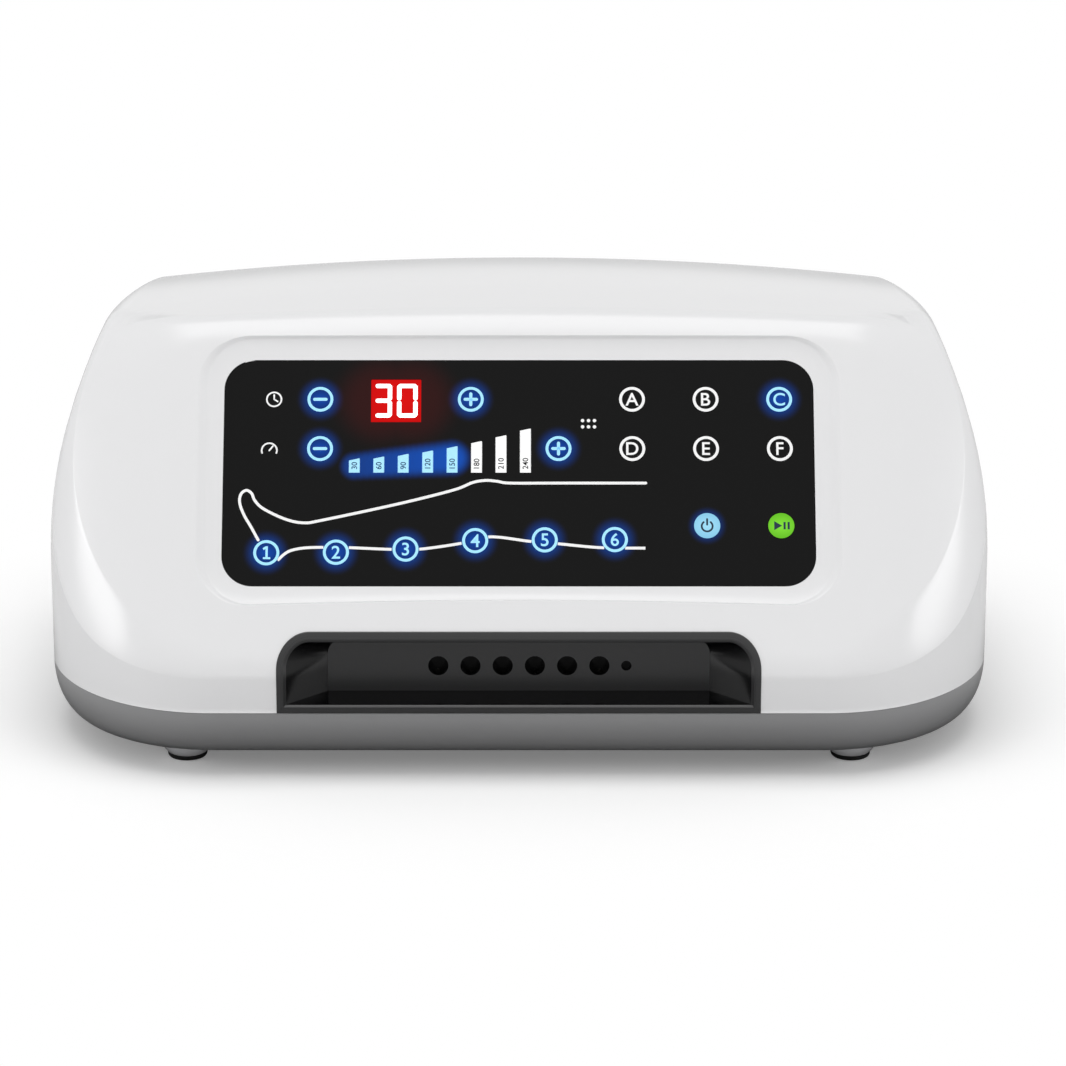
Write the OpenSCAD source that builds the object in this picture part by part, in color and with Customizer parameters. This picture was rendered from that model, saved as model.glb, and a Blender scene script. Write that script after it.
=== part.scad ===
// Six-chamber compression therapy pump: a table-top air pump with a sloped key panel.
// Millimetres, +Z up, front towards -Y. The origin is the middle of the footprint, on the table.

/* [Case] */
// Greatest width of the case
case_w = 352; // [340:1:364]
// Depth of the case from the front apron to the rear wall
case_d = 205; // [195:1:230]
// Height of the parting line between cover and tray
split_z = 26; // [24:0.5:28]
// Width of the straight middle of the front
front_flat_w = 224; // [220:1:230]
// How far back the rounded front corners reach
corner_d = 72; // [60:1:90]
// How much each side draws in towards the rear corners
side_taper = 14; // [8:0.5:20]
// Radius of the rear corners in plan
rear_r = 11; // [10.5:0.5:16]
// Wall thickness of the mouldings
wall = 2.6; // [2.2:0.1:3.2]
// Lean of the side walls at shoulder height
wall_lean = 10; // [6:0.5:12]

/* [Roof] */
// Height where the front apron meets the sloped face
apron_z = 43; // [42:0.5:46]
// Slope of the key face above the horizontal
face_slope = 56.5; // [54:0.5:59]
// Greatest height of the roof
roof_z = 157; // [154:0.5:160]
// Fall of the roof from its ridge to the rear edge
roof_fall = 12.5; // [8:0.5:16]
// Fall of the roof from its middle to its side edges
roof_crown = 9; // [4:0.5:12]

/* [Key panel] */
// Width of the black overlay
panel_w = 217.4; // [214:0.2:220]
// Height of the black overlay along the slope
panel_h = 86.3; // [84:0.1:88]
// Corner radius of the overlay
panel_r = 11.3; // [8:0.1:14]
// Distance of the overlay's lower edge up the slope
panel_t = 31.9; // [30:0.1:34]
// Depth of the overlay's face below the slope
panel_sink = 2.4; // [2:0.1:3]
// Width of the dished border round the overlay
border_w = 8.8; // [7:0.1:10]
// Diameter of a key
key_d = 9.7; // [9:0.1:10.4]
// Travel of a key
key_travel = 0.4; // [0.3:0.05:0.5]

/* [Air ports] */
// Number of air ports
port_count = 6; // [6:1:6]
// Distance between port centres
port_pitch = 11.8; // [11.6:0.1:12.2]
// Bore of an air port
port_d = 7.4; // [7:0.1:7.6]
// Depth of an air port's socket
port_depth = 16; // [14:0.5:16]
// Height of the port centres
port_z = 39.3; // [39:0.1:40]
// Width of the port recess over its flange
bay_w = 176.4; // [174:0.2:180]

/* [Feet] */
// Height of the tray's underside above the table
foot_h = 7; // [6:0.5:8]
// Distance between the feet's centres, left to right
foot_span = 246; // [230:1:250]

/* [Hidden] */
half_w = case_w / 2;
front_half = front_flat_w / 2;
rear_reach = 3.5;               // what the mains fittings stand out of the rear wall
front_reach = 0.8;              // what the port bay's flange stands out of the apron
front_y = (front_reach - case_d - rear_reach) / 2;
fs = sin(face_slope);
fc = cos(face_slope);
gap = 0.01;                     // keeps cutters from ending on a face

// Control panel layout, in millimetres across from the middle and up the slope
row_top = 103.2;
row_mid = 84.2;
row_low = 54.7;
mode_x = [41.8, 69.0, 96.2];
position_x = [-92.5, -67.0, -41.5, -16.0, 9.5, 35.2];
position_t = [44.4, 44.6, 45.8, 49.0, 49.3, 49.4];
key_spots = concat(
    [[-73.4, row_top], [-17.8, row_top], [-73.3, row_mid], [14.6, row_mid]],
    [for (x = mode_x) [x, row_top]],
    [for (x = mode_x) [x, row_mid]],
    [for (i = [0 : 5]) [position_x[i], position_t[i]]],
    [[69.1, row_low], [96.3, row_low]]);
KEYS = ["time_down_key", "time_up_key", "pressure_down_key", "pressure_up_key",
    "mode_a_key", "mode_b_key", "mode_c_key", "mode_d_key", "mode_e_key", "mode_f_key",
    "position_1_key", "position_2_key", "position_3_key",
    "position_4_key", "position_5_key", "position_6_key", "power_key", "play_key"];
overlay_t = 1.2;                // overlay thickness
key_gap = 0.15;                 // clearance round a key
display_x = -45.4;              // middle of the time display
display_t = 102.7;
display_w = 18.5;
display_h = 16.5;
bar_x0 = -60.6;                 // first of the eight pressure bars
bar_pitch = 9;
bar_w = 4.2;
bar_t0 = 74.1;                  // foot of the bars
bar_count = 8;
board_n = -9.0;                 // outer face of the key board, along the face's normal

// Inside of the case
floor_z = foot_h + wall;
valve_pitch = 17;
valve_y = 74;
valve_z = floor_z + 14;
fan_x = -112;
fan_z = 84;
fan_size = 60;
inlet_x = 108;
fittings_z = 62;
switch_x = 74;
fuse_x = 138;
pump_x = -66;
pump_y = 138;
pump_z = 66;
transformer_x = 66;
transformer_y = 158;

// ---- Frames ------------------------------------------------------------------------------

// The case is drawn with its front apron at y = 0 and moved onto the origin here.
module in_case() {
    translate([0, front_y, 0]) children();
}

// On the sloped face: x across, y up the slope, z out of the face.
module on_face(x = 0, t = 0, n = 0) {
    in_case() translate([0, 0, apron_z]) rotate([face_slope, 0, 0]) translate([x, t, n]) children();
}

// A block whose x and y run both ways from the middle
module block(size) {
    translate([-size[0] / 2, -size[1] / 2, 0]) cube(size);
}

// A rectangle with round corners
module round_rect(w, h, r) {
    union() {
        square([w - 2 * r, h], center = true);
        square([w, h - 2 * r], center = true);
        for (sx = [-1, 1], sy = [-1, 1])
            translate([sx * (w / 2 - r), sy * (h / 2 - r)]) circle(r = r, $fn = 48);
    }
}

// ---- The case's surfaces -----------------------------------------------------------------

function clamp01(v) = min(1, max(0, v));
function soft_min(a, b, k) = let (h = max(k - abs(a - b), 0) / k) min(a, b) - h * h * k / 4;

// Half width of the side at depth y, behind the front corner
function side_x(y) = half_w - side_taper * pow((y - corner_d) / (case_d - corner_d), 2);

// Half of the plan outline, from the middle of the front round to the middle of the rear
front_steps = 4;
corner_steps = 10;
side_steps = 7;
rear_steps = 4;
side_end = case_d - rear_r;
side_angle = atan(2 * side_taper * (side_end - corner_d) / pow(case_d - corner_d, 2));
rear_cx = side_x(side_end) - rear_r * cos(side_angle);
rear_cy = case_d - rear_r;
half_outline = concat(
    [for (i = [0 : front_steps - 1]) [front_half * i / front_steps, 0]],
    [for (i = [0 : corner_steps - 1]) let (a = 90 * i / corner_steps)
        [front_half + (half_w - front_half) * sin(a), corner_d * (1 - cos(a))]],
    [for (i = [0 : side_steps - 1]) let (y = corner_d + (side_end - corner_d) * i / side_steps)
        [side_x(y), y]],
    [for (i = [0 : rear_steps]) let (a = side_angle + (90 - side_angle) * i / rear_steps)
        [rear_cx + rear_r * cos(a), rear_cy + rear_r * sin(a)]],
    [for (i = [1 : front_steps]) [rear_cx * (1 - i / front_steps), case_d]]);
half_n = len(half_outline);
outline = concat(half_outline,
    [for (i = [half_n - 2 : -1 : 1]) [-half_outline[i][0], half_outline[i][1]]]);
ring_n = len(outline);
normals = [for (i = [0 : ring_n - 1])
    let (d = outline[(i + 1) % ring_n] - outline[(i + ring_n - 1) % ring_n])
    [d[1], -d[0]] / norm(d)];

// The key face falls back outside the panel, so that it meets the rounded corners
function face_setback(x) = let (k = max(abs(x) - 118, 0) / 45) 17 * k * k;
function face_h(x, y, t) = apron_z + (y - face_setback(x)) * fs / fc - t / fc;
ridge_y = 96;
function roof_h(x, y, t) = roof_z - t
    - roof_crown * pow(x / 150, 2) * (0.35 + 0.65 * clamp01((y - 60) / (case_d - 60)))
    - roof_fall * pow((y - ridge_y) / (case_d - ridge_y), 2);
function blend(x) = 9 + 24 * pow(clamp01((abs(x) - 112) / 50), 2);
// Height of the outer surface less a wall of thickness t
function top_h(x, y, t = 0) = soft_min(face_h(x, y, t), roof_h(x, y, t), blend(x));

// Side walls stand upright to lean_z and then draw in
lean_z = 62;
function drawn_in(z) = 1 - wall_lean / half_w * pow(max(z - lean_z, 0) / 68, 2);
function wall_pt(i, z, t) =
    let (p = outline[i] - normals[i] * t) [p[0] * drawn_in(z), p[1]];

// Radius of the edge between wall and roof: tight at the apron, broad at the shoulders
function edge_r(i) = (normals[i][1] < 0 ? 4 : 5) + 4.5 * abs(normals[i][0]);

// Height where the edge rounding starts, found by repeated substitution
function wall_top(i, t, r, z = 100, n = 12) = n == 0 ? z
    : let (p = wall_pt(i, z, t)) wall_top(i, t, r, (z + top_h(p[0], p[1], t) - r) / 2, n - 1);

// Distance from e towards the spine where the key face meets the roof, found by halving
function ridge_at(e, way, lo, hi, n = 12) =
    let (mid = (lo + hi) / 2, q = e + way * mid)
    n == 0 ? mid
        : face_h(q[0], q[1], 0) < roof_h(q[0], q[1], 0) ? ridge_at(e, way, mid, hi, n - 1)
        : ridge_at(e, way, lo, mid, n - 1);

// One row a station, for a skin set in by t: edge radius, top of the wall, the point there,
// direction to the spine, distance from the rounding to the spine and to the ridge
mid_y = 112;
stations = [0 : ring_n - 1];
function rim(t) = [for (i = stations)
    let (r = max(edge_r(i) - t, 1),
         z = wall_top(i, t, r),
         p = wall_pt(i, z, t),
         spine = [outline[i][0] * 0.3, mid_y],
         way = unit(spine - p),
         d = norm(spine - p) - r,
         ridge = ridge_at(p + way * r, way, 0, d))
    [r, z, p, way, d, min(max(ridge, 0.08 * d), 0.85 * d)]];

function wall_ring(rim, t, z0, u) = [for (i = stations)
    let (z = z0 + (rim[i][1] - z0) * u, p = wall_pt(i, z, t)) [p[0], p[1], z]];

function edge_ring(rim, t, a) = [for (row = rim)
    let (r = row[0], q = row[2] + row[3] * r * (1 - cos(a)))
    [q[0], q[1], top_h(q[0], q[1], t) - r * (1 - sin(a))]];

// Rings on the roof gather round the ridge: k < 0 runs from the edge up to it, k > 0 on inwards
function roof_ring(rim, t, k) = [for (row = rim)
    let (d = row[4], ridge = row[5],
         near = min(9, 0.25 * ridge, 0.25 * (d - ridge)),
         s = k < -1 ? (ridge - near) * (3 + k)
             : k <= 1 ? ridge + near * k
             : ridge + near + (d - ridge - near) * (k - 1),
         q = row[2] + row[3] * (row[0] + s))
    [q[0], q[1], top_h(q[0], q[1], t)]];

function unit(v) = v / norm(v);

// Closes a stack of rings into one solid, with a fan on the first and the last ring
module lofted(rings, low_mid, high_mid) {
    m = len(rings);
    n = len(rings[0]);
    points = concat([for (ring = rings) each ring], [low_mid, high_mid]);
    sides = [for (k = [0 : m - 2], i = [0 : n - 1])
        let (j = (i + 1) % n, a = k * n + i, b = k * n + j, c = a + n, d = b + n)
        each [[a, c, d], [a, d, b]]];
    low = [for (i = [0 : n - 1]) [m * n, i, (i + 1) % n]];
    high = [for (i = [0 : n - 1]) [m * n + 1, (m - 1) * n + (i + 1) % n, (m - 1) * n + i]];
    polyhedron(points, concat(sides, low, high));
}

// The cover's outer form
module cover_form() {
    outer = rim(0);
    rings = concat(
        [for (u = [0, 0.4, 0.7, 0.87]) wall_ring(outer, 0, split_z, u)],
        [for (a = [0, 30, 60, 90]) edge_ring(outer, 0, a)],
        [for (k = [-2.6, -2.3, -1, -0.5, 0, 0.5, 1, 1.35, 1.7, 1.9]) roof_ring(outer, 0, k)]);
    lofted(rings, [0, mid_y, split_z], [0, mid_y, top_h(0, mid_y)]);
}

// The space inside the cover
module cover_space() {
    inner = rim(wall);
    rings = concat(
        [for (u = [0, 0.5, 0.8]) wall_ring(inner, wall, split_z - 1, u)],
        [for (a = [0, 45, 90]) edge_ring(inner, wall, a)],
        [for (k = [-2.4, -1, 0, 1, 1.5, 1.9]) roof_ring(inner, wall, k)]);
    lofted(rings, [0, mid_y, split_z - 1], [0, mid_y, top_h(0, mid_y, wall)]);
}

// The tray's hull turns under like a boat: q = 0 at the parting line, 1 at the flat bottom
hull_turn = 9;
function hull_inset(i, q) =
    (hull_turn - 2 * clamp01((outline[i][1] - 100) / 70)
        + (normals[i][1] < 0 ? 4 * pow(normals[i][1], 2) : 0))
    * (1 - pow(1 - pow(q, 2.2), 0.6));
function hull_ring(t, z_low, q) = [for (i = stations)
    let (p = outline[i] - normals[i] * (hull_inset(i, q) + t))
    [p[0], p[1], split_z + (z_low - split_z) * q]];

// A ring that follows the plan outline, set in by t
function level_ring(t, z) = [for (i = stations)
    let (p = outline[i] - normals[i] * t) [p[0], p[1], z]];

// Closes a stack of rings into a hollow band, the last ring joined to the first
module banded(rings) {
    m = len(rings);
    n = len(rings[0]);
    polyhedron([for (ring = rings) each ring], [for (k = [0 : m - 1], i = [0 : n - 1])
        let (j = (i + 1) % n, up = (k + 1) % m, a = k * n + i, b = k * n + j,
             c = up * n + i, d = up * n + j)
        each [[a, c, d], [a, d, b]]]);
}

// The tray: a band up the outside, over the rim and the rib that sits inside the cover's wall
// and down the inside, round a flat floor
rib_h = 2.5;
rib_t = 1.8;
floor_lap = 4.5;                // flat width of the band inside its curved wall
function floor_edge(i) =
    let (p = outline[i] - normals[i] * (hull_inset(i, 1) + wall))
    p + unit([outline[i][0] * 0.3, mid_y] - p) * floor_lap;
function floor_ring(z) = [for (i = stations) let (p = floor_edge(i)) [p[0], p[1], z]];
module tray_form() {
    banded(concat(
        [for (q = [1, 0.97, 0.88, 0.72, 0.45, 0]) hull_ring(0, foot_h, q)],
        [level_ring(wall + 0.2, split_z), level_ring(wall + 0.2, split_z + rib_h),
         level_ring(wall + 0.2 + rib_t, split_z + rib_h), level_ring(wall + 0.2 + rib_t, split_z)],
        [for (q = [0.5, 0.75, 0.9, 1]) hull_ring(wall + rib_t * (1 - q), floor_z, q)],
        [floor_ring(floor_z), floor_ring(foot_h)]));
    translate([0, 0, foot_h]) linear_extrude(wall) polygon([for (i = stations) floor_edge(i)]);
}

// ---- Case mouldings ----------------------------------------------------------------------

screw_spots = [[-128, 60], [128, 60], [-140, 150], [140, 150], [-28, 182], [28, 182]];
boss_r = 4;
board_post_x = 106.2;           // posts that carry the key board
pilot_r = 1.35;
seat_in = 6;                    // depth of the thickened seat behind the overlay
window_edge = 5;                // ledge that the overlay rests on

// The dished border: a steep lip, then a shallow slope down to the overlay
module panel_dish() {
    on_face(0, panel_t + panel_h / 2) {
        hull() {
            translate([0, 0, -panel_sink]) linear_extrude(0.2)
                round_rect(panel_w + 1, panel_h + 1, panel_r + 0.5, $fn = 32);
            translate([0, 0, -0.9]) linear_extrude(0.1)
                round_rect(panel_w + 2 * border_w - 1.4, panel_h + 2 * border_w - 1.4,
                    panel_r + border_w - 0.7, $fn = 32);
        }
        hull() {
            translate([0, 0, -0.9]) linear_extrude(0.1)
                round_rect(panel_w + 2 * border_w - 1.4, panel_h + 2 * border_w - 1.4,
                    panel_r + border_w - 0.7, $fn = 32);
            translate([0, 0, 6]) linear_extrude(0.1)
                round_rect(panel_w + 2 * border_w + 1, panel_h + 2 * border_w + 1,
                    panel_r + border_w + 0.5, $fn = 32);
        }
        translate([0, 0, -panel_sink - overlay_t]) linear_extrude(panel_sink)
            round_rect(panel_w + 0.4, panel_h + 0.4, panel_r + 0.2);
    }
}

module panel_window() {
    on_face(0, panel_t + panel_h / 2, -40) linear_extrude(42)
        round_rect(panel_w - 2 * window_edge, panel_h - 2 * window_edge, panel_r - window_edge);
}

// The seat behind the overlay, kept under the outer skin
module panel_seat() {
    on_face(0, panel_t + panel_h / 2, -seat_in) linear_extrude(seat_in - 1)
        round_rect(panel_w + 8, panel_h + 8, panel_r + 4);
}

// Front view of the port bay: round at the top, square at the parting line
bay_top = 54.6;
bay_r = 12;
module bay_outline(inset) {
    w = bay_w - 2 * inset;
    h = bay_top - split_z - inset;
    r = bay_r - inset;
    translate([0, split_z]) union() {
        translate([-w / 2, 0]) square([w, h - r]);
        translate([-w / 2 + r, 0]) square([w - 2 * r, h]);
        for (sx = [-1, 1]) translate([sx * (w / 2 - r), h - r]) circle(r = r, $fn = 48);
    }
}

// Draws an upright outline and pushes it back from y = y0 to y = y1
module pushed_back(y0, y1) {
    translate([0, y1, 0]) rotate([90, 0, 0]) linear_extrude(y1 - y0) children();
}

inlet_hole = [27.4, 20.4];
switch_hole = [19.4, 13.2];
fuse_hole_r = 6.2;
fan_hole_r = 27;
intake_hole = [34, 20];
intake_x = -20;

module rear_openings() {
    translate([inlet_x, case_d - 8, fittings_z]) rotate([-90, 0, 0])
        translate([-inlet_hole[0] / 2, -inlet_hole[1] / 2, 0]) cube([inlet_hole[0], inlet_hole[1], 12]);
    translate([switch_x, case_d - 8, fittings_z]) rotate([-90, 0, 0])
        translate([-switch_hole[1] / 2, -switch_hole[0] / 2, 0]) cube([switch_hole[1], switch_hole[0], 12]);
    translate([fuse_x, case_d - 8, fittings_z]) rotate([-90, 0, 0])
        cylinder(r = fuse_hole_r, h = 12, $fn = 48);
    translate([fan_x, case_d - 8, fan_z]) rotate([-90, 0, 0])
        cylinder(r = fan_hole_r, h = 12, $fn = 64);
    translate([intake_x - intake_hole[0] / 2, case_d - 8, fittings_z - intake_hole[1] / 2])
        cube([intake_hole[0], 12, intake_hole[1]]);
}

module upper_cover() {
    color("#ececec") difference() {
        union() {
            in_case() difference() {
                cover_form();
                cover_space();
            }
            panel_seat();
            for (sx = [-1, 1], st = [-24, 24])
                on_face(sx * board_post_x, panel_t + panel_h / 2 + st, board_n)
                    cylinder(r = 2.4, h = -board_n - seat_in + 1, $fn = 32);
            in_case() for (s = screw_spots)
                translate([s[0], s[1], split_z]) cylinder(r = boss_r,
                    h = top_h(abs(s[0]) + boss_r, s[1] - boss_r) - split_z - wall, $fn = 32);
        }
        panel_dish();
        panel_window();
        in_case() {
            pushed_back(-6, 24) bay_outline(2.4);
            rear_openings();
            for (s = screw_spots) translate([s[0], s[1], split_z - gap])
                cylinder(r = pilot_r, h = 16, $fn = 24);
        }
    }
}

foot_spots = [for (sx = [-1, 1], y = [26, case_d - 30]) [sx * foot_span / 2, y]];
foot_peg_r = 3;
foot_hole_r = 3.1;

module base_tray() {
    color("#8c8c8c") in_case() difference() {
        union() {
            difference() {
                tray_form();
                // The rib makes way for the port bay
                translate([-bay_w / 2 - 2, 1, split_z]) cube([bay_w + 4, 20, rib_h + 1]);
            }
            for (s = screw_spots) translate([s[0], s[1], floor_z - 1])
                cylinder(r = boss_r + 1, h = split_z - floor_z + 1, $fn = 32);
        }
        for (s = screw_spots) {
            translate([s[0], s[1], foot_h - gap]) cylinder(r = 1.6, h = 40, $fn = 32);
            translate([s[0], s[1], foot_h - gap]) cylinder(r = 3.4, h = 8, $fn = 32);
        }
        for (s = foot_spots) translate([s[0], s[1], foot_h - gap])
            cylinder(r = foot_hole_r, h = 10, $fn = 32);
    }
}

// Self-tapping screws up through the tray into the cover's bosses
module case_screws() {
    color("silver") in_case() for (s = screw_spots) translate([s[0], s[1], foot_h + 5.27]) {
        cylinder(r1 = 2.9, r2 = 2.6, h = 2.7, $fn = 32);
        cylinder(r = 1.3, h = split_z - foot_h + 6, $fn = 24);
    }
}

// ---- Air port bay ------------------------------------------------------------------------

bay_back = 14;                  // depth of the bay's back wall behind the apron
bay_in = 3.3;                   // width of the flange
flange_seat = 0.02;             // the flange's underside, just in front of the cover
stub_r = 5.2;
tail_r = 2.6;                   // hose tails, also on the manifold
port_tail = 5;

// A point on the rolled edge of the apron, `out` in front of the cover
function apron_pt(a, out) =
    let (r = edge_r(0), y = r * (1 - cos(a)))
    [y, apron_z + y * fs / fc - r * (1 - sin(a))]
    + unit([-fs / fc * sin(a) - cos(a), sin(a)]) * out;

// Side view of everything behind a skin `out` in front of the cover, back to y = depth
module bay_side(out, depth) {
    top = bay_top + 4;
    polygon(concat([[depth, top], [depth, split_z], [-out, split_z]],
        [for (a = [0 : 15 : 90]) apron_pt(a, out)],
        [[(top - apron_z) * fc / fs - out / fs, top]]));
}

module across_bay() {
    translate([-bay_w / 2, 0, 0]) rotate([90, 0, 90]) linear_extrude(bay_w) children();
}

port_x = [for (i = [0 : port_count - 1]) (i - (port_count - 1) / 2) * port_pitch];
locating_x = port_x[port_count - 1] + 9.9;

module port_bay() {
    color("#2e2e2e") in_case() difference() {
        union() {
            // Flange that laps over the cover
            intersection() {
                pushed_back(-5, 24) bay_outline(0);
                across_bay() difference() {
                    bay_side(front_reach, bay_back);
                    translate([0, -1]) square([bay_back + 1, 1 + split_z - gap]);
                    bay_side(flange_seat, bay_back + 9);
                }
            }
            // Body that passes through the cover
            intersection() {
                pushed_back(-5, 24) bay_outline(2.6);
                across_bay() bay_side(front_reach, bay_back + 3);
            }
            // Six sockets and their hose tails behind the back wall
            for (x = port_x) translate([x, bay_back, port_z]) rotate([-90, 0, 0]) {
                cylinder(r = stub_r, h = port_depth, $fn = 48);
                cylinder(r = tail_r, h = port_depth + port_tail, $fn = 32);
            }
            // Boss behind the locating hole
            translate([locating_x, bay_back, port_z]) rotate([-90, 0, 0])
                cylinder(r = 3.6, h = 8, $fn = 32);
        }
        // The tapered bay
        hull() {
            pushed_back(-7, -6) bay_hollow(0);
            pushed_back(0, 1) bay_hollow(0);
            pushed_back(bay_back - 0.5, bay_back) bay_hollow(1);
        }
        for (x = port_x) translate([x, bay_back - gap, port_z]) rotate([-90, 0, 0]) {
            cylinder(r = port_d / 2, h = port_depth - 2, $fn = 48);
            cylinder(r = 1.4, h = port_depth + 10, $fn = 32);
        }
        translate([locating_x, bay_back - gap, port_z]) rotate([-90, 0, 0])
            cylinder(r = 1.9, h = 6, $fn = 32);
    }
}

// Opening of the bay at its mouth (k = 0) and at its back wall (k = 1)
module bay_hollow(k) {
    w = bay_w - 2 * bay_in - 30 * k;
    z0 = split_z + 3.2 + 0.4 * k;
    z1 = bay_top - bay_in - 1.6 * k;
    r = bay_r - bay_in - 3 * k;
    union() {
        translate([-w / 2, z0]) square([w, z1 - z0 - r]);
        translate([-w / 2 + r, z0]) square([w - 2 * r, z1 - z0]);
        for (sx = [-1, 1]) translate([sx * (w / 2 - r), z1 - r]) circle(r = r, $fn = 32);
    }
}

// ---- Control panel -----------------------------------------------------------------------

module key_overlay() {
    color("#1c1c1c") on_face(0, 0, -panel_sink - overlay_t) difference() {
        translate([0, panel_t + panel_h / 2, 0]) linear_extrude(overlay_t)
            round_rect(panel_w, panel_h, panel_r);
        for (s = key_spots) translate([s[0], s[1], -1])
            cylinder(r = key_d / 2 + key_gap, h = 4, $fn = 48);
        translate([display_x - display_w / 2, display_t - display_h / 2, -1])
            cube([display_w, display_h, 4]);
        for (i = [0 : bar_count - 1]) translate([bar_x0 + i * bar_pitch - bar_w / 2, bar_t0, -1])
            cube([bar_w, bar_height(i), 4]);
    }
}

// The bars grow faster towards the right
function bar_height(i) = 6.5 + 0.55 * i + 0.155 * i * i;

// One round key: cap, collar that keeps it under the overlay, and stem
key_rise = 0.1;
module key_cap(i) {
    on_face(key_spots[i][0], key_spots[i][1], -panel_sink + key_rise) {
        translate([0, 0, -overlay_t - 0.3]) cylinder(r = key_d / 2, h = overlay_t + 0.3, $fn = 48);
        translate([0, 0, -overlay_t - 1.0]) cylinder(r = key_d / 2 + 0.6, h = 0.8, $fn = 48);
        translate([0, 0, -overlay_t - 2.2]) cylinder(r = 1.6, h = 1.4, $fn = 24);
    }
}

module key_board() {
    color("#1f5a34") on_face(0, panel_t + panel_h / 2, board_n) difference() {
        union() {
            translate([0, 0, -1.6]) linear_extrude(1.6)
                round_rect(panel_w - 1, panel_h - 14, 5);
            for (s = key_spots) translate([s[0], s[1] - panel_t - panel_h / 2, -gap])
                block([6, 6, switch_top() - board_n]);
        }
        for (sx = [-1, 1], sy = [-1, 1])
            translate([sx * board_post_x, sy * 24, -3])
                cylinder(r = 1.1, h = 6, $fn = 24);
    }
}
// Top of a switch under the key stems, just clear of them at full travel
function switch_top() = -panel_sink + key_rise - overlay_t - 2.2 - key_travel - 0.1;

module time_display() {
    color("#d01010") on_face(display_x, display_t, -panel_sink) union() {
        translate([0, 0, -0.9]) block([display_w - 0.3, display_h - 0.3, 0.85]);
        translate([0, 0, board_n + panel_sink])
            block([display_w + 1.6, display_h + 1.6, -board_n - panel_sink - overlay_t - 0.1]);
        translate([0, 0, -2]) block([display_w - 0.4, display_h - 0.4, 1.2]);
    }
}

module bar_display() {
    color("#cfe9ff") on_face(0, 0, -panel_sink) {
        for (i = [0 : bar_count - 1]) translate([bar_x0 + i * bar_pitch, bar_t0, 0])
            translate([-bar_w / 2 + 0.15, 0.15, -2]) cube([bar_w - 0.3, bar_height(i) - 0.3, 1.95]);
        translate([bar_x0 - bar_w / 2 - 1, bar_t0 - 1.5, board_n + panel_sink])
            cube([bar_pitch * 7 + bar_w + 2, 20, -board_n - panel_sink - overlay_t - 0.1]);
    }
}

// ---- Feet --------------------------------------------------------------------------------

module feet() {
    color("#7a7a7a") in_case() for (s = foot_spots) translate([s[0], s[1], 0]) {
        rotate_extrude($fn = 48) polygon([[0, 1.8], [7.4, 1.8], [7.4, 2.2], [8.9, 4],
            [9.5, 5.4], [9.5, foot_h], [0, foot_h]]);
        cylinder(r = foot_peg_r, h = floor_z + 2, $fn = 32);
    }
}

module foot_pads() {
    color("#101010") in_case() for (s = foot_spots) translate([s[0], s[1], 0])
        rotate_extrude($fn = 48) polygon([[3.2, 0], [6.4, 0], [7.2, 0.7], [7.4, 1.75], [3.2, 1.75]]);
}

// ---- Rear fittings -----------------------------------------------------------------------

// Points from the rear wall outwards: x to the right as seen from the front
module on_rear(x, z) {
    in_case() translate([x, case_d, z]) rotate([-90, 0, 0]) children();
}

module mains_inlet() {
    color("#181818") on_rear(inlet_x, fittings_z) difference() {
        union() {
            linear_extrude(2.6) round_rect(31.5, 24.6, 2.4);
            translate([0, 0, -20]) linear_extrude(20.1) round_rect(27, 20, 2);
        }
        translate([0, 0, -14]) linear_extrude(20) polygon([[-12, -8.2], [12, -8.2], [12, 3.6],
            [7.6, 8.2], [-7.6, 8.2], [-12, 3.6]]);
    }
    color("silver") on_rear(inlet_x, fittings_z) for (p = [[-7, 2], [7, 2], [0, -2.4]])
        translate([p[0], p[1], -26]) block([1.8, 4, 22]);
}

module fuse_holder() {
    color("#202020") on_rear(fuse_x, fittings_z) difference() {
        union() {
            cylinder(r = 8, h = 1.6, $fn = 48);
            translate([0, 0, -26]) cylinder(r = 6, h = 27, $fn = 48);
            translate([0, 0, 1.5]) cylinder(r = 5.8, h = 2, $fn = 48);
        }
        translate([-4.2, -0.6, 2.5]) cube([8.4, 1.2, 2]);
    }
}

rocker_w = 10.4;
rocker_h = 16;
rocker_n = -1.2;                // pivot, along the way out of the rear wall

module switch_frame() {
    color("#151515") on_rear(switch_x, fittings_z) difference() {
        union() {
            linear_extrude(2) round_rect(15.2, 21.2, 1.6);
            translate([0, 0, -15]) block([13, 19, 15.1]);
        }
        translate([0, 0, -7]) block([rocker_w + 0.6, rocker_h + 0.8, 12]);
        translate([-7, 0, rocker_n]) rotate([0, 90, 0]) cylinder(r = 1.05, h = 14, $fn = 32);
    }
}

module power_rocker() {
    color("#b01818") on_rear(switch_x, fittings_z) translate([0, 0, rocker_n]) union() {
        intersection() {
            translate([0, 0, -4]) block([rocker_w, rocker_h, 8.2]);
            rotate([0, 90, 0]) translate([0, 0, -rocker_w / 2]) difference() {
                cylinder(r = 8.1, h = rocker_w, $fn = 64);
                translate([-17.2, 0, -1]) cylinder(r = 14, h = rocker_w + 2, $fn = 64);
            }
        }
        rotate([0, 90, 0]) translate([0, 0, -6.4]) cylinder(r = 1, h = 12.8, $fn = 32);
    }
}

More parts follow.
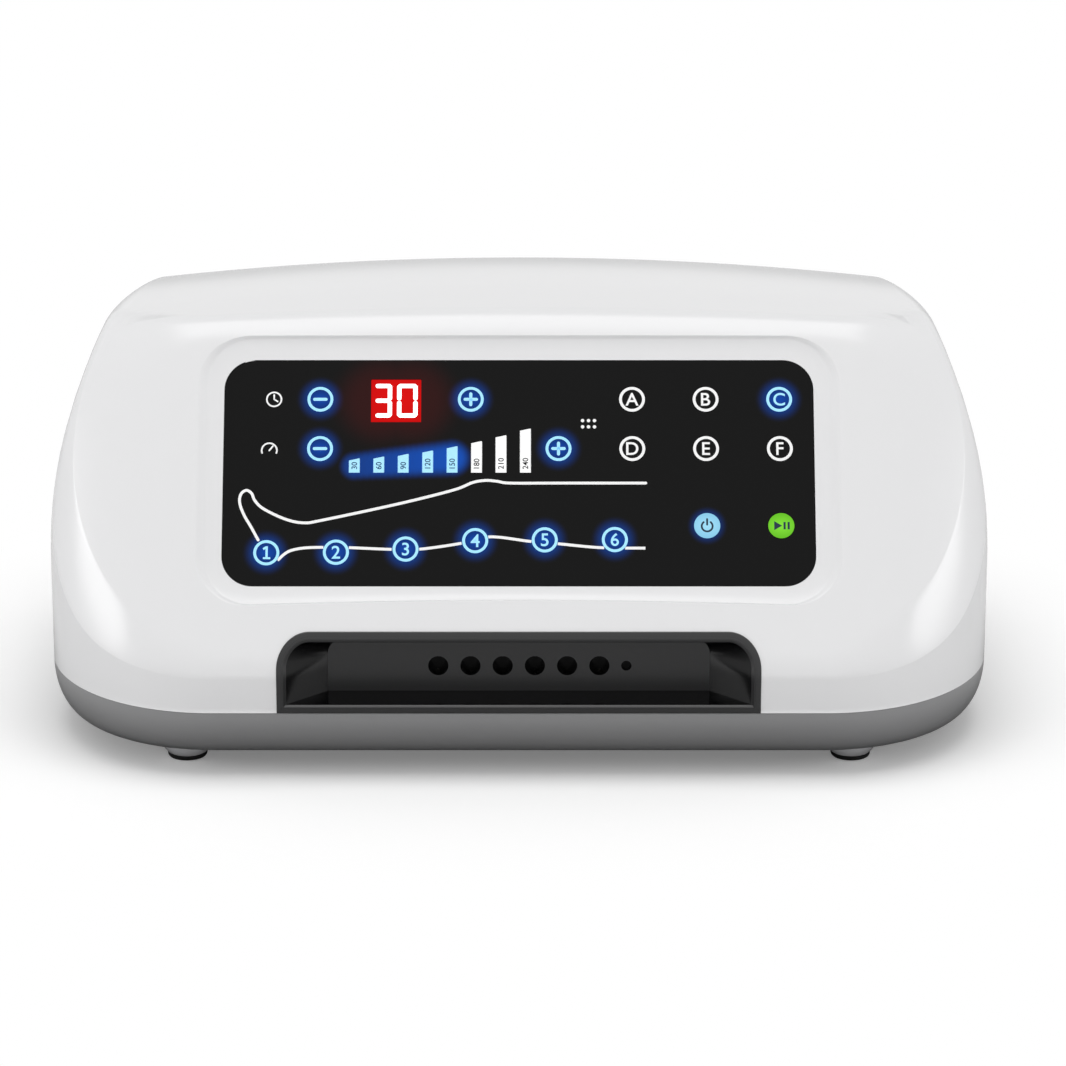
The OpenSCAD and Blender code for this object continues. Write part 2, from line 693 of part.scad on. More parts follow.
module fan_grille() {
    color("#3a3a3a") on_rear(fan_x, fan_z) difference() {
        union() {
            linear_extrude(1.8) round_rect(fan_size + 4, fan_size + 4, 5);
            translate([0, 0, -2.5]) difference() {
                cylinder(r = fan_hole_r - 0.3, h = 2.6, $fn = 64);
                translate([0, 0, -1]) cylinder(r = fan_hole_r - 2, h = 5, $fn = 64);
            }
        }
        for (k = [-4 : 4]) let (half = sqrt(pow(fan_hole_r - 2.6, 2) - pow(k * 5.2, 2)))
            for (sx = [-1, 1]) translate([sx > 0 ? 1 : -half, k * 5.2 - 1.6, -4])
                cube([half - 1, 3.2, 8]);
    }
}

// ---- Cooling fan -------------------------------------------------------------------------

fan_depth = 15;
fan_back = 3.2;                 // gap between the rear wall's inside and the fan
blade_count = 7;

module at_fan() {
    on_rear(fan_x, fan_z) translate([0, 0, -wall - fan_back - fan_depth]) children();
}

module fan_frame() {
    color("#222222") at_fan() {
        difference() {
            linear_extrude(fan_depth) round_rect(fan_size, fan_size, 4);
            translate([0, 0, -1]) cylinder(r = 28.2, h = fan_depth + 2, $fn = 64);
            for (sx = [-1, 1], sy = [-1, 1]) translate([sx * 25, sy * 25, -1])
                cylinder(r = 2.1, h = fan_depth + 2, $fn = 24);
        }
        difference() {
            union() {
                cylinder(r = 12, h = 2, $fn = 48);
                for (a = [0, 90, 180, 270]) rotate([0, 0, a + 20]) translate([11, -1.5, 0])
                    cube([18, 3, 2]);
                cylinder(r = 3.4, h = 8, $fn = 32);
            }
            translate([0, 0, 2]) cylinder(r = 1.55, h = 12, $fn = 32);
        }
        // Pads that hold the fan against the rear wall
        for (sx = [-1, 1], sy = [-1, 1]) translate([sx * 27.5, sy * 27.5, fan_depth - 0.1])
            cylinder(r = 2, h = fan_back + 0.1, $fn = 24);
    }
}

module fan_rotor() {
    color("#2b2b2b") at_fan() {
        difference() {
            translate([0, 0, 2.6]) cylinder(r = 11.6, h = fan_depth - 3.6, $fn = 48);
            translate([0, 0, 2.5]) cylinder(r = 10.2, h = fan_depth - 5.2, $fn = 48);
        }
        translate([0, 0, 2.6]) cylinder(r = 1.5, h = fan_depth - 3.8, $fn = 32);
        for (k = [0 : blade_count - 1]) rotate([0, 0, k * 360 / blade_count])
            translate([11, 0, fan_depth / 2 + 0.6]) rotate([38, 0, 0])
                translate([0, -7.6, -0.6]) cube([15.6, 15.2, 1.2]);
    }
}

// ---- Air pump ----------------------------------------------------------------------------

pump_len = 62;                  // coil frame, along x
head_r = 27;
head_len = 22;
outlet_up = 12;                 // the outlet's tail, above the pump's axis
outlet_r = 3;
outlet_tail = 9;
armature_r = 5;

module at_pump() {
    in_case() translate([pump_x, pump_y, pump_z]) children();
}

// Laminated frame with its two coils and end plates
module pump_body() {
    color("#5c6066") at_pump() difference() {
        union() {
            translate([0, 0, -26]) block([pump_len - 12, 50, 52]);
            for (sx = [-1, 1]) translate([sx * (pump_len / 2 - 3), 0, -32]) block([6, 58, 62]);
            translate([0, 0, -35]) block([pump_len + 40, 70, 4]);
            for (sx = [-1, 1]) translate([sx * (pump_len / 2 - 3), 0, -33]) block([6, 58, 4]);
        }
        rotate([0, 90, 0]) translate([0, 0, -60]) cylinder(r = armature_r + 0.05, h = 120, $fn = 48);
        for (sx = [-1, 1], sy = [-1, 1]) translate([sx * 44, sy * 28, -40])
            cylinder(r = 3.1, h = 12, $fn = 32);
    }
    color("#a8622a") at_pump() for (sx = [-1, 1]) translate([sx * 11, 0, 26 - gap])
        block([18, 30, 7]);
}

module pump_armature() {
    color("#c9ccd0") at_pump() rotate([0, 90, 0]) union() {
        translate([0, 0, -pump_len / 2 - 6]) cylinder(r = armature_r, h = pump_len + 12, $fn = 48);
        for (s = [-1, 1]) translate([0, 0, s * (pump_len / 2 + 5) - 1]) cylinder(r = 13, h = 2, $fn = 48);
    }
}

module pump_heads() {
    color("#33373c") at_pump() for (s = [-1, 1]) rotate([0, s * 90, 0])
        translate([0, 0, pump_len / 2]) difference() {
            union() {
                cylinder(r = head_r, h = head_len, $fn = 64);
                if (s > 0) translate([-outlet_up, 0, head_len - 1])
                    cylinder(r = outlet_r, h = 1 + outlet_tail, $fn = 32);
            }
            translate([0, 0, -1]) cylinder(r = 15, h = 12, $fn = 48);
            if (s > 0) translate([-outlet_up, 0, 8]) cylinder(r = 1.6, h = 30, $fn = 24);
        }
}

module pump_mounts() {
    color("#161616") at_pump() for (sx = [-1, 1], sy = [-1, 1]) translate([sx * 44, sy * 28, 0]) {
        translate([0, 0, floor_z - pump_z]) cylinder(r = 6.5, h = pump_z - floor_z - 35, $fn = 32);
        translate([0, 0, -36]) cylinder(r = 3, h = 5.5, $fn = 32);
        translate([0, 0, -30.9]) cylinder(r = 5, h = 2, $fn = 32);
    }
}

module air_filter() {
    color("#d8d8d0") on_rear(intake_x, fittings_z) union() {
        difference() {
            linear_extrude(2.2) round_rect(intake_hole[0] + 8, intake_hole[1] + 8, 3);
            for (k = [-2 : 2]) translate([-15, k * 4 - 1, -1]) cube([30, 2, 5]);
        }
        translate([0, 0, -wall - 9]) difference() {
            linear_extrude(wall + 9.1)
                round_rect(intake_hole[0] - 0.6, intake_hole[1] - 0.6, 2);
            translate([0, 0, 2]) linear_extrude(wall + 12)
                round_rect(intake_hole[0] - 4, intake_hole[1] - 4, 1);
        }
    }
}

// ---- Valves ------------------------------------------------------------------------------

valve_x = [for (i = [0 : port_count - 1]) (i - (port_count - 1) / 2) * valve_pitch];
block_h = 16;
coil_h = 26;
plunger_r = 3;
plunger_l = 18;
valve_tail = 5.6;
inlet_tail = 10;                // tail that takes the supply hose
inlet_tail_r = 3.2;

module valve_manifold() {
    color("#e4e4de") in_case() difference() {
        union() {
            translate([0, valve_y, valve_z]) block([6 * valve_pitch + 6, 24, block_h]);
            for (sx = [-1, 1]) translate([sx * (3 * valve_pitch - 4), valve_y, floor_z])
                block([10, 20, valve_z - floor_z + 0.1]);
            for (x = valve_x) translate([x, valve_y - 11, valve_z + 8]) rotate([90, 0, 0])
                cylinder(r = tail_r, h = 1 + valve_tail, $fn = 32);
            translate([3 * valve_pitch + 2, valve_y, valve_z + 8]) rotate([0, 90, 0])
                cylinder(r = inlet_tail_r, h = 1 + inlet_tail, $fn = 32);
        }
        for (x = valve_x) {
            translate([x, valve_y, valve_z + 5]) cylinder(r = plunger_r + 0.05, h = 14, $fn = 32);
            translate([x, valve_y + 1, valve_z + 8]) rotate([90, 0, 0])
                cylinder(r = 1.4, h = 30, $fn = 24);
        }
        translate([3 * valve_pitch - 10, valve_y, valve_z + 8]) rotate([0, 90, 0])
            cylinder(r = 1.8, h = 30, $fn = 24);
    }
}

module valve_coils() {
    color("#b0452a") in_case() for (x = valve_x)
        translate([x, valve_y, valve_z + block_h]) difference() {
            union() {
                block([15, 20, 2]);
                translate([0, 0, coil_h - 2]) block([15, 20, 2]);
                cylinder(r = 7.4, h = coil_h, $fn = 48);
            }
            translate([0, 0, -1]) cylinder(r = plunger_r + 0.05, h = coil_h - 3, $fn = 32);
        }
}

module valve_plunger(i) {
    color("#d5d8dc") in_case() translate([valve_x[i - 1], valve_y, valve_z + 5.6])
        cylinder(r = plunger_r, h = plunger_l, $fn = 32);
}

// ---- Hoses -------------------------------------------------------------------------------

// A round bar swept along a list of points
function sweep_ring(path, k, r, sides, up) =
    let (n = len(path),
         d = unit(path[min(k + 1, n - 1)] - path[max(k - 1, 0)]),
         a = unit(cross(d, up)),
         b = cross(a, d))
    [for (s = [0 : sides - 1]) let (w = 360 * s / sides) path[k] + r * (cos(w) * a + sin(w) * b)];

module swept(path, r, sides, up) {
    n = len(path);
    lofted([for (k = [0 : n - 1]) sweep_ring(path, k, r, sides, up)], path[0], path[n - 1]);
}

function bezier(a, b, c, d, u) = a * pow(1 - u, 3) + 3 * b * u * pow(1 - u, 2)
    + 3 * c * u * u * (1 - u) + d * pow(u, 3);

// A hose runs straight over the tails at its ends, `run_a` and `run_b` long, and bends between
function hose_path(a, run_a, b, run_b, reach, n) = concat([a],
    [for (k = [0 : n]) bezier(a + run_a, a + run_a + unit(run_a) * reach,
        b + run_b + unit(run_b) * reach, b + run_b, k / n)], [b]);

hose_r = 4;
hose_slack = 0.05;              // between a hose's bore and its tail
hose_end = 0.1;                 // between a hose's end and the shoulder of its tail
module port_hoses() {
    y0 = bay_back + port_depth + hose_end;
    y1 = valve_y - 12 - hose_end;
    color("#e8e4da") in_case() for (i = [0 : port_count - 1]) {
        a = [port_x[i], y0, port_z];
        b = [valve_x[i], y1, valve_z + 8];
        difference() {
            swept(hose_path(a, [0, port_tail, 0], b, [0, -valve_tail, 0], 10, 8),
                hose_r, 10, [0, 0, 1]);
            translate(a - [0, 1, 0]) rotate([-90, 0, 0])
                cylinder(r = tail_r + hose_slack, h = 1 + port_tail + 0.2, $fn = 32);
            translate(b + [0, 1, 0]) rotate([90, 0, 0])
                cylinder(r = tail_r + hose_slack, h = 1 + valve_tail + 0.2, $fn = 32);
        }
    }
}

module supply_hose() {
    a = [pump_x + pump_len / 2 + head_len + hose_end, pump_y, pump_z + outlet_up];
    b = [3 * valve_pitch + 3 + hose_end, valve_y, valve_z + 8];
    color("#e8e4da") in_case() difference() {
        swept(hose_path(a, [outlet_tail, 0, 0], b, [inlet_tail, 0, 0], 38, 12),
            hose_r + 0.4, 10, [0, 0, 1]);
        translate(a - [1, 0, 0]) rotate([0, 90, 0])
            cylinder(r = outlet_r + hose_slack, h = 1 + outlet_tail + 0.2, $fn = 32);
        translate(b - [1, 0, 0]) rotate([0, 90, 0])
            cylinder(r = inlet_tail_r + hose_slack, h = 1 + inlet_tail + 0.2, $fn = 32);
    }
}

// ---- Electronics -------------------------------------------------------------------------

board_x = 92;
board_y = 100;
board_z = floor_z + 6;

module main_board() {
    color("#1f5a34") in_case() translate([board_x, board_y, 0]) {
        translate([0, 0, board_z]) block([64, 46, 1.6]);
        for (sx = [-1, 1], sy = [-1, 1]) translate([sx * 28, sy * 19, floor_z])
            cylinder(r = 3, h = board_z - floor_z + 0.1, $fn = 24);
        for (k = [0 : 3]) translate([-22 + k * 12, 10, board_z + 1.5]) block([8, 8, 4 + k]);
        translate([10, -12, board_z + 1.5]) block([22, 12, 3]);
    }
}

module pressure_sensor() {
    color("#efefe8") in_case() translate([board_x - 18, board_y - 12, board_z + 1.6]) {
        block([12, 10, 6]);
        cylinder(r = 1.6, h = 11, $fn = 32);
    }
}

module transformer() {
    color("#8a5a2a") in_case() translate([transformer_x, transformer_y, floor_z]) {
        translate([0, 0, 10]) block([40, 50, 34]);
    }
    color("#54575b") in_case() translate([transformer_x, transformer_y, floor_z])
        difference() {
            union() {
                block([62, 30, 52]);
                block([78, 30, 2.5]);
            }
            for (sx = [-1, 1]) translate([sx * 35, 0, -1]) cylinder(r = 2.2, h = 5, $fn = 24);
        }
}

// ---- Assembly ----------------------------------------------------------------------------

upper_cover();
base_tray();
port_bay();
key_overlay();
time_display();
bar_display();
key_board();
feet();
foot_pads();
case_screws();
mains_inlet();
fuse_holder();
switch_frame();
power_rocker();
fan_grille();
fan_frame();
fan_rotor();
pump_body();
pump_armature();
pump_heads();
pump_mounts();
air_filter();
valve_manifold();
valve_coils();
port_hoses();
supply_hose();
main_board();
pressure_sensor();
transformer();
for (i = [1 : 6])
    valve_plunger(i);
for (i = [0 : len(KEYS) - 1])
    color("#161616") key_cap(i);
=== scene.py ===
import math

import bmesh
import bpy
import numpy as np
from mathutils import Matrix, Vector


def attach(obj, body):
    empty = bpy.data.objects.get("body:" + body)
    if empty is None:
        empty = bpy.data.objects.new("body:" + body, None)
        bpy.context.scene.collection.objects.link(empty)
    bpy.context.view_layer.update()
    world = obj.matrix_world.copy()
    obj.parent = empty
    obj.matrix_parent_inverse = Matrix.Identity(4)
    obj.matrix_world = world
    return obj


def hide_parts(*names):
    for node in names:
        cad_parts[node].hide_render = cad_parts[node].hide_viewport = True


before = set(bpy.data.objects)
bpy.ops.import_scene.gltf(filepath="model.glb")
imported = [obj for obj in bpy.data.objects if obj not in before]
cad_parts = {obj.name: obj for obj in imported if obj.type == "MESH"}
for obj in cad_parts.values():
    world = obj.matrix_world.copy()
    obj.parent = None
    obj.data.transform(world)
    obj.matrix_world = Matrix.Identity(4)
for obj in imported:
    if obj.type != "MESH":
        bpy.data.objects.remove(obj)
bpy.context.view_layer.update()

scene = bpy.context.scene
scene.view_settings.view_transform = "Standard"

# ---- Camera --------------------------------------------------------------------------------
# A long lens a good metre and a half in front of the pump, a little right of its middle and
# tipped 18 degrees down, which is how the picture of it was taken.


def placed(name, data):
    """A new object of this data, in the scene."""
    made = bpy.data.objects.new(name, data)
    scene.collection.objects.link(made)
    return made


camera = placed("camera", bpy.data.cameras.new("camera"))
camera.location = (0.0052, -1.6730, 0.6048)
camera.rotation_euler = (math.radians(72), 0, 0)
camera.data.sensor_width = 36
camera.data.lens = 154.9
camera.data.clip_start, camera.data.clip_end = 0.05, 60
scene.camera = camera

# ---- Upper cover ---------------------------------------------------------------------------
# One injection moulding in white ABS with a polished surface. A wedge in profile: upright apron,
# sloped key face, crowned roof and side walls that draw in a little, all with rolled edges.
half_w, depth, split_z, half_front, corner_d = 176.0, 205.0, 26.0, 112.0, 72.0
side_taper, rear_r, wall_lean, lean_z = 14.0, 11.0, 10.0, 62.0
apron_z, slope, roof_z, roof_fall, roof_crown = 43.0, math.radians(56.5), 156.6, 12.5, 9.0
ridge_y, mid_y, front_y, wall_t = 96.0, 112.0, -103.85, 2.6
spine_half = 52.0          # the roof's surface is drawn from a line this long in its middle
shoulder_lean, rear_lean = 1.7, 5.4  # what the walls draw in further, high up and at the rear
rise, run = math.sin(slope), math.cos(slope)
FACE = Matrix(((1, 0, 0, 0), (0, run, -rise, front_y / 1000),
               (0, rise, run, apron_z / 1000), (0, 0, 0, 1)))


def sharp_to_soft(a, b, reach):
    """The lower of two heights, blended where they cross."""
    h = np.maximum(reach - np.abs(a - b), 0) / reach
    return np.minimum(a, b) - h * h * reach / 4


def face_height(x, y, t=0):
    back = 17 * (np.maximum(np.abs(x) - 118, 0) / 45) ** 2
    return apron_z + (y - back) * rise / run - t / run


def roof_height(x, y, t=0):
    crown = roof_crown * (x / 150) ** 2 * (0.35 + 0.65 * np.clip((y - 60) / (depth - 60), 0, 1))
    return roof_z - t - crown - roof_fall * ((y - ridge_y) / (depth - ridge_y)) ** 2


def top_height(x, y, t=0):
    reach = 9 + 24 * np.clip((np.abs(x) - 112) / 50, 0, 1) ** 2
    return sharp_to_soft(face_height(x, y, t), roof_height(x, y, t), reach)


def side_reach(y):
    return half_w - side_taper * ((y - corner_d) / (depth - corner_d)) ** 2


def plan_outline(fine):
    """The case seen from above, from the middle of the front round to the left."""
    side_end = depth - rear_r
    turn = math.atan(2 * side_taper * (side_end - corner_d) / (depth - corner_d) ** 2)
    cx = side_reach(side_end) - rear_r * math.cos(turn)
    u = np.arange(12 * fine) / (12 * fine)
    front = np.stack([half_front * u, 0 * u], 1)
    a = np.radians(90) * np.arange(20 * fine) / (20 * fine)
    corner = np.stack([half_front + (half_w - half_front) * np.sin(a),
                       corner_d * (1 - np.cos(a))], 1)
    y = corner_d + (side_end - corner_d) * np.arange(14 * fine) / (14 * fine)
    side = np.stack([side_reach(y), y], 1)
    b = turn + (math.pi / 2 - turn) * np.arange(7 * fine) / (7 * fine)
    bend = np.stack([cx + rear_r * np.cos(b), side_end + rear_r * np.sin(b)], 1)
    u = np.arange(12 * fine + 1) / (12 * fine)
    rear = np.stack([cx * (1 - u), depth + 0 * u], 1)
    half = np.concatenate([front, corner, side, bend, rear])
    return np.concatenate([half, half[-2:0:-1] * [-1, 1]])


def plan_normals(outline):
    along = np.roll(outline, -1, 0) - np.roll(outline, 1, 0)
    return np.stack([along[:, 1], -along[:, 0]], 1) / np.linalg.norm(along, axis=1)[:, None]


def smooth_step(u):
    """From 0 to 1, level at both ends."""
    u = np.clip(u, 0, 1)
    return u ** 2 * (3 - 2 * u)


def drawn_in(y, z):
    """The factor on the width: the walls draw in with height, and most at the rear."""
    lean = wall_lean * (np.maximum(z - lean_z, 0) / 68) ** 2
    lean = lean + shoulder_lean * (np.maximum(z - 75, 0) / 45) ** 1.9
    rear = smooth_step((y - 95) / 110) * (np.maximum(z - 60, 0) / 70) ** 2
    return 1 - (lean + rear_lean * rear) / half_w


def cover_rings(t, fine, z0):
    """Rings up the wall, round its rolled top edge and in over the roof, for a skin set in by t."""
    outline = plan_outline(fine)
    normals = plan_normals(outline)
    # The roll's radius: 4 mm in front, 5 behind, 9 at the sides and 4 where they meet the rear
    behind = smooth_step((outline[:, 1] - 110) / 80)
    r = 4.5 + 0.5 * normals[:, 1] + 4.5 * np.abs(normals[:, 0]) * (1 - 1.1 * behind)
    r = np.maximum(r - t, 1)

    def wall_at(z):
        p = outline - normals * t
        return np.stack([p[:, 0] * drawn_in(p[:, 1], z), p[:, 1]], 1)

    # The roll starts along the wall, which leans in, and not upright. The height where it starts
    # settles from a first guess
    z = np.full(len(outline), 100.0)
    for _ in range(24):
        p = wall_at(z)
        lean = np.arctan(np.maximum(((wall_at(z - 1) - wall_at(z + 1)) * normals).sum(1) / 2, 0))
        z = (z + top_height(p[:, 0], p[:, 1], t) - r * (1 - np.sin(lean))) / 2
    p = wall_at(z)
    span = r * np.cos(lean)
    half = np.arange(len(p) // 2)
    spine = spine_half * np.sin(math.pi * half / len(half))
    spine = np.concatenate([spine, -spine])
    way = np.stack([spine, np.full(len(p), mid_y)], 1) - p
    reach = np.linalg.norm(way, axis=1)
    way /= reach[:, None]
    reach = reach - span
    # How far in from the roll the key face turns into the roof
    low, high = np.zeros(len(p)), reach.copy()
    for _ in range(24):
        mid = (low + high) / 2
        q = p + way * (span + mid)[:, None]
        before = face_height(q[:, 0], q[:, 1]) < roof_height(q[:, 0], q[:, 1])
        low, high = np.where(before, mid, low), np.where(before, high, mid)
    ridge = np.clip(low, 0.08 * reach, 0.85 * reach)
    rings = []
    # The lowest edge flares a little along the front, as a drip edge over the tray
    flare = normals * (0.3 * np.clip(-normals[:, 1] * 2 - 1, 0, 1))[:, None]
    for up in (0, 0.1):
        level = np.full(len(outline), z0 + up)
        rings.append(np.column_stack([wall_at(level) + flare, level]))
    for u in np.linspace(0, 0.985, 6 * fine):
        level = z0 + 0.6 + (z - z0 - 0.6) * u
        rings.append(np.column_stack([wall_at(level), level]))
    # Round the front corners the roll is flattened to a soft bevel, which leaves a crease
    bevel = 0.8 * np.clip((np.abs(normals[:, 0]) - 0.18) / 0.5, 0, 1) \
        * smooth_step((96 - outline[:, 1]) / 50)
    for share in np.linspace(0, 1, 5 * fine + 1):
        a = lean + (math.pi / 2 - lean) * share
        inward = r * (1 - bevel) * (np.cos(lean) - np.cos(a)) + span * bevel * share
        q = p + way * inward[:, None]
        drop = r * ((1 - bevel) * (1 - np.sin(a)) + bevel * (1 - np.sin(lean)) * (1 - share))
        rings.append(np.column_stack([q, top_height(q[:, 0], q[:, 1], t) - drop]))
    # Up the face, closer together over the ridge, and on to the roof's middle line
    near = np.minimum(20, np.minimum(0.45 * ridge, 0.45 * (reach - ridge)))
    for u in np.concatenate([[0.012], np.linspace(0, 1, 6 * fine)[1:-1],
                             np.linspace(1, 2, 10 * fine)[:-1], np.linspace(2, 3, 7 * fine)]):
        if u < 1:
            s = (ridge - near) * u
        elif u < 2:
            s = ridge - near + 2 * near * (u - 1)
        else:
            s = ridge + near + (reach - ridge - near) * (u - 2)
        q = p + way * (span + s)[:, None]
        rings.append(np.column_stack([q, top_height(q[:, 0], q[:, 1], t)]))
    return rings


def solid_from(name, rings, seam=False):
    """Joins a stack of rings into one closed mesh, in the case's own millimetres. With a seam,
    the last ring lies folded on a line and closes itself."""
    n, m = len(rings[0]), len(rings)
    points = np.concatenate(rings) + [0, front_y, 0]
    faces = [(k * n + i, k * n + (i + 1) % n, (k + 1) * n + (i + 1) % n, (k + 1) * n + i)
             for k in range(m - 1) for i in range(n)]
    faces.append(tuple(range(n - 1, -1, -1)))
    if not seam:
        faces.append(tuple(range((m - 1) * n, m * n)))
    mesh = bpy.data.meshes.new(name)
    mesh.from_pydata((points / 1000).tolist(), [], faces)
    form = bmesh.new()
    form.from_mesh(mesh)
    if seam:
        bmesh.ops.remove_doubles(form, verts=form.verts[:], dist=1e-6)
    bmesh.ops.recalc_face_normals(form, faces=form.faces[:])
    form.to_mesh(mesh)
    form.free()
    return placed(name, mesh)


def carve(piece, *tools, action="DIFFERENCE"):
    """Cuts the tools out of a piece for good."""
    for tool in tools:
        cut = piece.modifiers.new("cut", "BOOLEAN")
        cut.object, cut.operation, cut.solver = tool, action, "EXACT"
    done = bpy.data.meshes.new_from_object(
        piece.evaluated_get(bpy.context.evaluated_depsgraph_get()))
    piece.modifiers.clear()
    piece.data = done
    for tool in tools:
        bpy.data.objects.remove(tool)


def soften(piece, degrees=30):
    """Smooth shading, broken only at edges sharper than this, with flat faces kept flat."""
    piece.data.polygons.foreach_set("use_smooth", [True] * len(piece.data.polygons))
    piece.data.set_sharp_from_angle(angle=math.radians(degrees))
    piece.modifiers.new("flat_faces", "WEIGHTED_NORMAL").keep_sharp = True


def lofted_on_face(name, loops):
    """A closed solid from loops of (across, up the slope, out of the face), in millimetres."""
    piece = solid_from(name, [np.array(loop, float) - [0, front_y, 0] for loop in loops])
    piece.data.transform(FACE)
    return piece


def rounded_loop(left, right, low, high, r, n, arch=0.0, steps=14):
    """A rectangle with round corners on the key face, its lower edge arched up in the middle."""
    loop = []
    for cx, cy, start in ((right - r, high - r, 0), (left + r, high - r, 90),
                          (left + r, low + r, 180), (right - r, low + r, 270)):
        for k in range(steps + 1):
            a = math.radians(start + 90 * k / steps)
            loop.append([cx + r * math.cos(a), cy + r * math.sin(a), n])
        if start == 180:
            for k in range(1, 30):
                u = k / 30
                loop.append([left + r + (right - left - 2 * r) * u,
                             low + arch * math.sin(math.pi * u), n])
    return loop


panel_half, panel_low, panel_high, panel_r = 108.7, 31.9, 118.2, 11.3
# How far the dished border has reached outwards at the sides, top and bottom, how deep it is
# there, and how much its lower edge arches
border = [(0.25, 0.25, 0.25, -7, 0), (0.25, 0.25, 0.25, -2.4, 0), (2.2, 2.9, 2.6, -2.28, 0.3),
          (4.3, 5.6, 4.9, -1.95, 0.9), (6.0, 8.0, 6.9, -1.50, 1.5), (6.5, 8.35, 7.2, -1.36, 1.6),
          (7.1, 8.55, 7.4, -1.1, 1.7), (8.1, 8.8, 7.65, -0.55, 1.8), (9.0, 9.1, 7.9, -0.17, 1.9),
          (9.6, 9.3, 8.1, -0.03, 1.9), (10.4, 9.5, 8.3, 0.12, 1.9), (10.6, 9.6, 8.4, 3.0, 1.9)]


def border_tool():
    return lofted_on_face("border_tool", [rounded_loop(
        -panel_half - s, panel_half + s, panel_low - b, panel_high + t,
        panel_r + 0.8 * (s + t) / 2, n, arch) for s, t, b, n, arch in border])


def plain_prism(name, loop, y0, y1):
    """An outline in the front view, pushed from y0 to y1."""
    return solid_from(name, [np.array([[x, y, z] for x, z in loop], float) for y in (y0, y1)])


def box_loop(x, z, w, h, r=1.0, steps=4):
    loop = []
    for cx, cz, start in ((w / 2 - r, h / 2 - r, 0), (-w / 2 + r, h / 2 - r, 90),
                          (-w / 2 + r, -h / 2 + r, 180), (w / 2 - r, -h / 2 + r, 270)):
        for k in range(steps + 1):
            a = math.radians(start + 90 * k / steps)
            loop.append((x + cx + r * math.cos(a), z + cz + r * math.sin(a)))
    return loop


def circle_loop(x, z, r, steps=64):
    return [(x + r * math.cos(2 * math.pi * k / steps), z + r * math.sin(2 * math.pi * k / steps))
            for k in range(steps)]


bay_half, bay_top, bay_r = 88.2, 54.6, 12.0


def bay_loop(inset, steps=16, low=None):
    """The port bay's outline from the front: round at the top, square at the parting line."""
    w, top, r = bay_half - inset, bay_top - inset, bay_r - inset
    low = split_z if low is None else low
    loop = [(w, low)]
    for cx, start in ((w - r, 0), (-w + r, 90)):
        for k in range(steps + 1):
            a = math.radians(start + 90 * k / steps)
            loop.append((cx + r * math.cos(a), top - r + r * math.sin(a)))
    return loop + [(-w, low)]


fan_x, fan_z, fittings_z, intake_x = -112, 84, 62, -20
inlet_x, switch_x, fuse_x = 108, 74, 138
cover = solid_from("cover_shell", cover_rings(0, 2, split_z), seam=True)
cover_inside = solid_from("cover_inside", cover_rings(wall_t, 1, split_z - 1), seam=True)
window = lofted_on_face("window", [rounded_loop(
    -panel_half + 5, panel_half - 5, panel_low + 5, panel_high - 5, 6, n) for n in (-40, 2)])
openings = [plain_prism("bay_tool", bay_loop(2.4, low=split_z - 2), -6, 24)]
for name, loop in (("inlet_tool", box_loop(inlet_x, fittings_z, 27.4, 20.4)),
                   ("switch_tool", box_loop(switch_x, fittings_z, 13.2, 19.4)),
                   ("fuse_tool", circle_loop(fuse_x, fittings_z, 6.2)),
                   ("fan_tool", circle_loop(fan_x, fan_z, 27)),
                   ("intake_tool", box_loop(intake_x, fittings_z, 34, 20))):
    openings.append(plain_prism(name, loop, depth - 8, depth + 4))
carve(cover, cover_inside, border_tool(), window, *openings)
soften(cover, 32)


def tone(text):
    """An sRGB hex colour as the linear colour that the shaders take."""
    parts = [int(text[i:i + 2], 16) / 255 for i in (1, 3, 5)]
    return tuple(c / 12.92 if c <= 0.04045 else ((c + 0.055) / 1.055) ** 2.4 for c in parts) + (1,)


def feed(material, node, settings=None, links=None):
    """Settings name a node's sockets or properties, links name the sockets to feed."""
    for name, value in (settings or {}).items():
        if isinstance(name, int) or name in node.inputs:
            node.inputs[name].default_value = value
        else:
            setattr(node, name, value)
    for name, source in (links or {}).items():
        material.node_tree.links.new(source, node.inputs[name])
    return node


def add(material, kind, settings=None, links=None):
    """Adds one node, set and fed at once."""
    return feed(material, material.node_tree.nodes.new(kind), settings, links)


def blank(name):
    """A new material and its shader."""
    material = bpy.data.materials.new(name)
    material.use_nodes = True
    return material, material.node_tree.nodes["Principled BSDF"]


def moulded_plastic(name, colour, roughness, grain_mm, grain_height, drift=0.03, specular=0.5):
    """A moulded plastic: faint drift of its colour, uneven gloss and the grain of its mould."""
    material, shader = blank(name)
    place = add(material, "ShaderNodeTexCoord").outputs["Object"]
    drift_map = add(material, "ShaderNodeTexNoise", {"Scale": 1 / 0.09, "Detail": 3},
                    {"Vector": place})
    base = tone(colour)
    low = tuple(c * (1 - drift) for c in base[:3]) + (1,)
    high = tuple(min(c * (1 + drift), 1) for c in base[:3]) + (1,)
    mix = add(material, "ShaderNodeMix", {"data_type": "RGBA", 6: low, 7: high},
              {0: drift_map.outputs["Fac"]})
    gloss = add(material, "ShaderNodeMapRange", {3: roughness * 0.88, 4: roughness * 1.12},
                {"Value": drift_map.outputs["Fac"]})
    grain = add(material, "ShaderNodeTexNoise", {"Scale": 1000 / grain_mm, "Detail": 2},
                {"Vector": place})
    bump = add(material, "ShaderNodeBump", {"Strength": 0.35, "Distance": grain_height / 1000},
               {"Height": grain.outputs["Fac"]})
    feed(material, shader, {"IOR": 1.53, "Specular IOR Level": specular},
         {"Base Color": mix.outputs[2], "Roughness": gloss.outputs[0], "Normal": bump.outputs[0]})
    return material


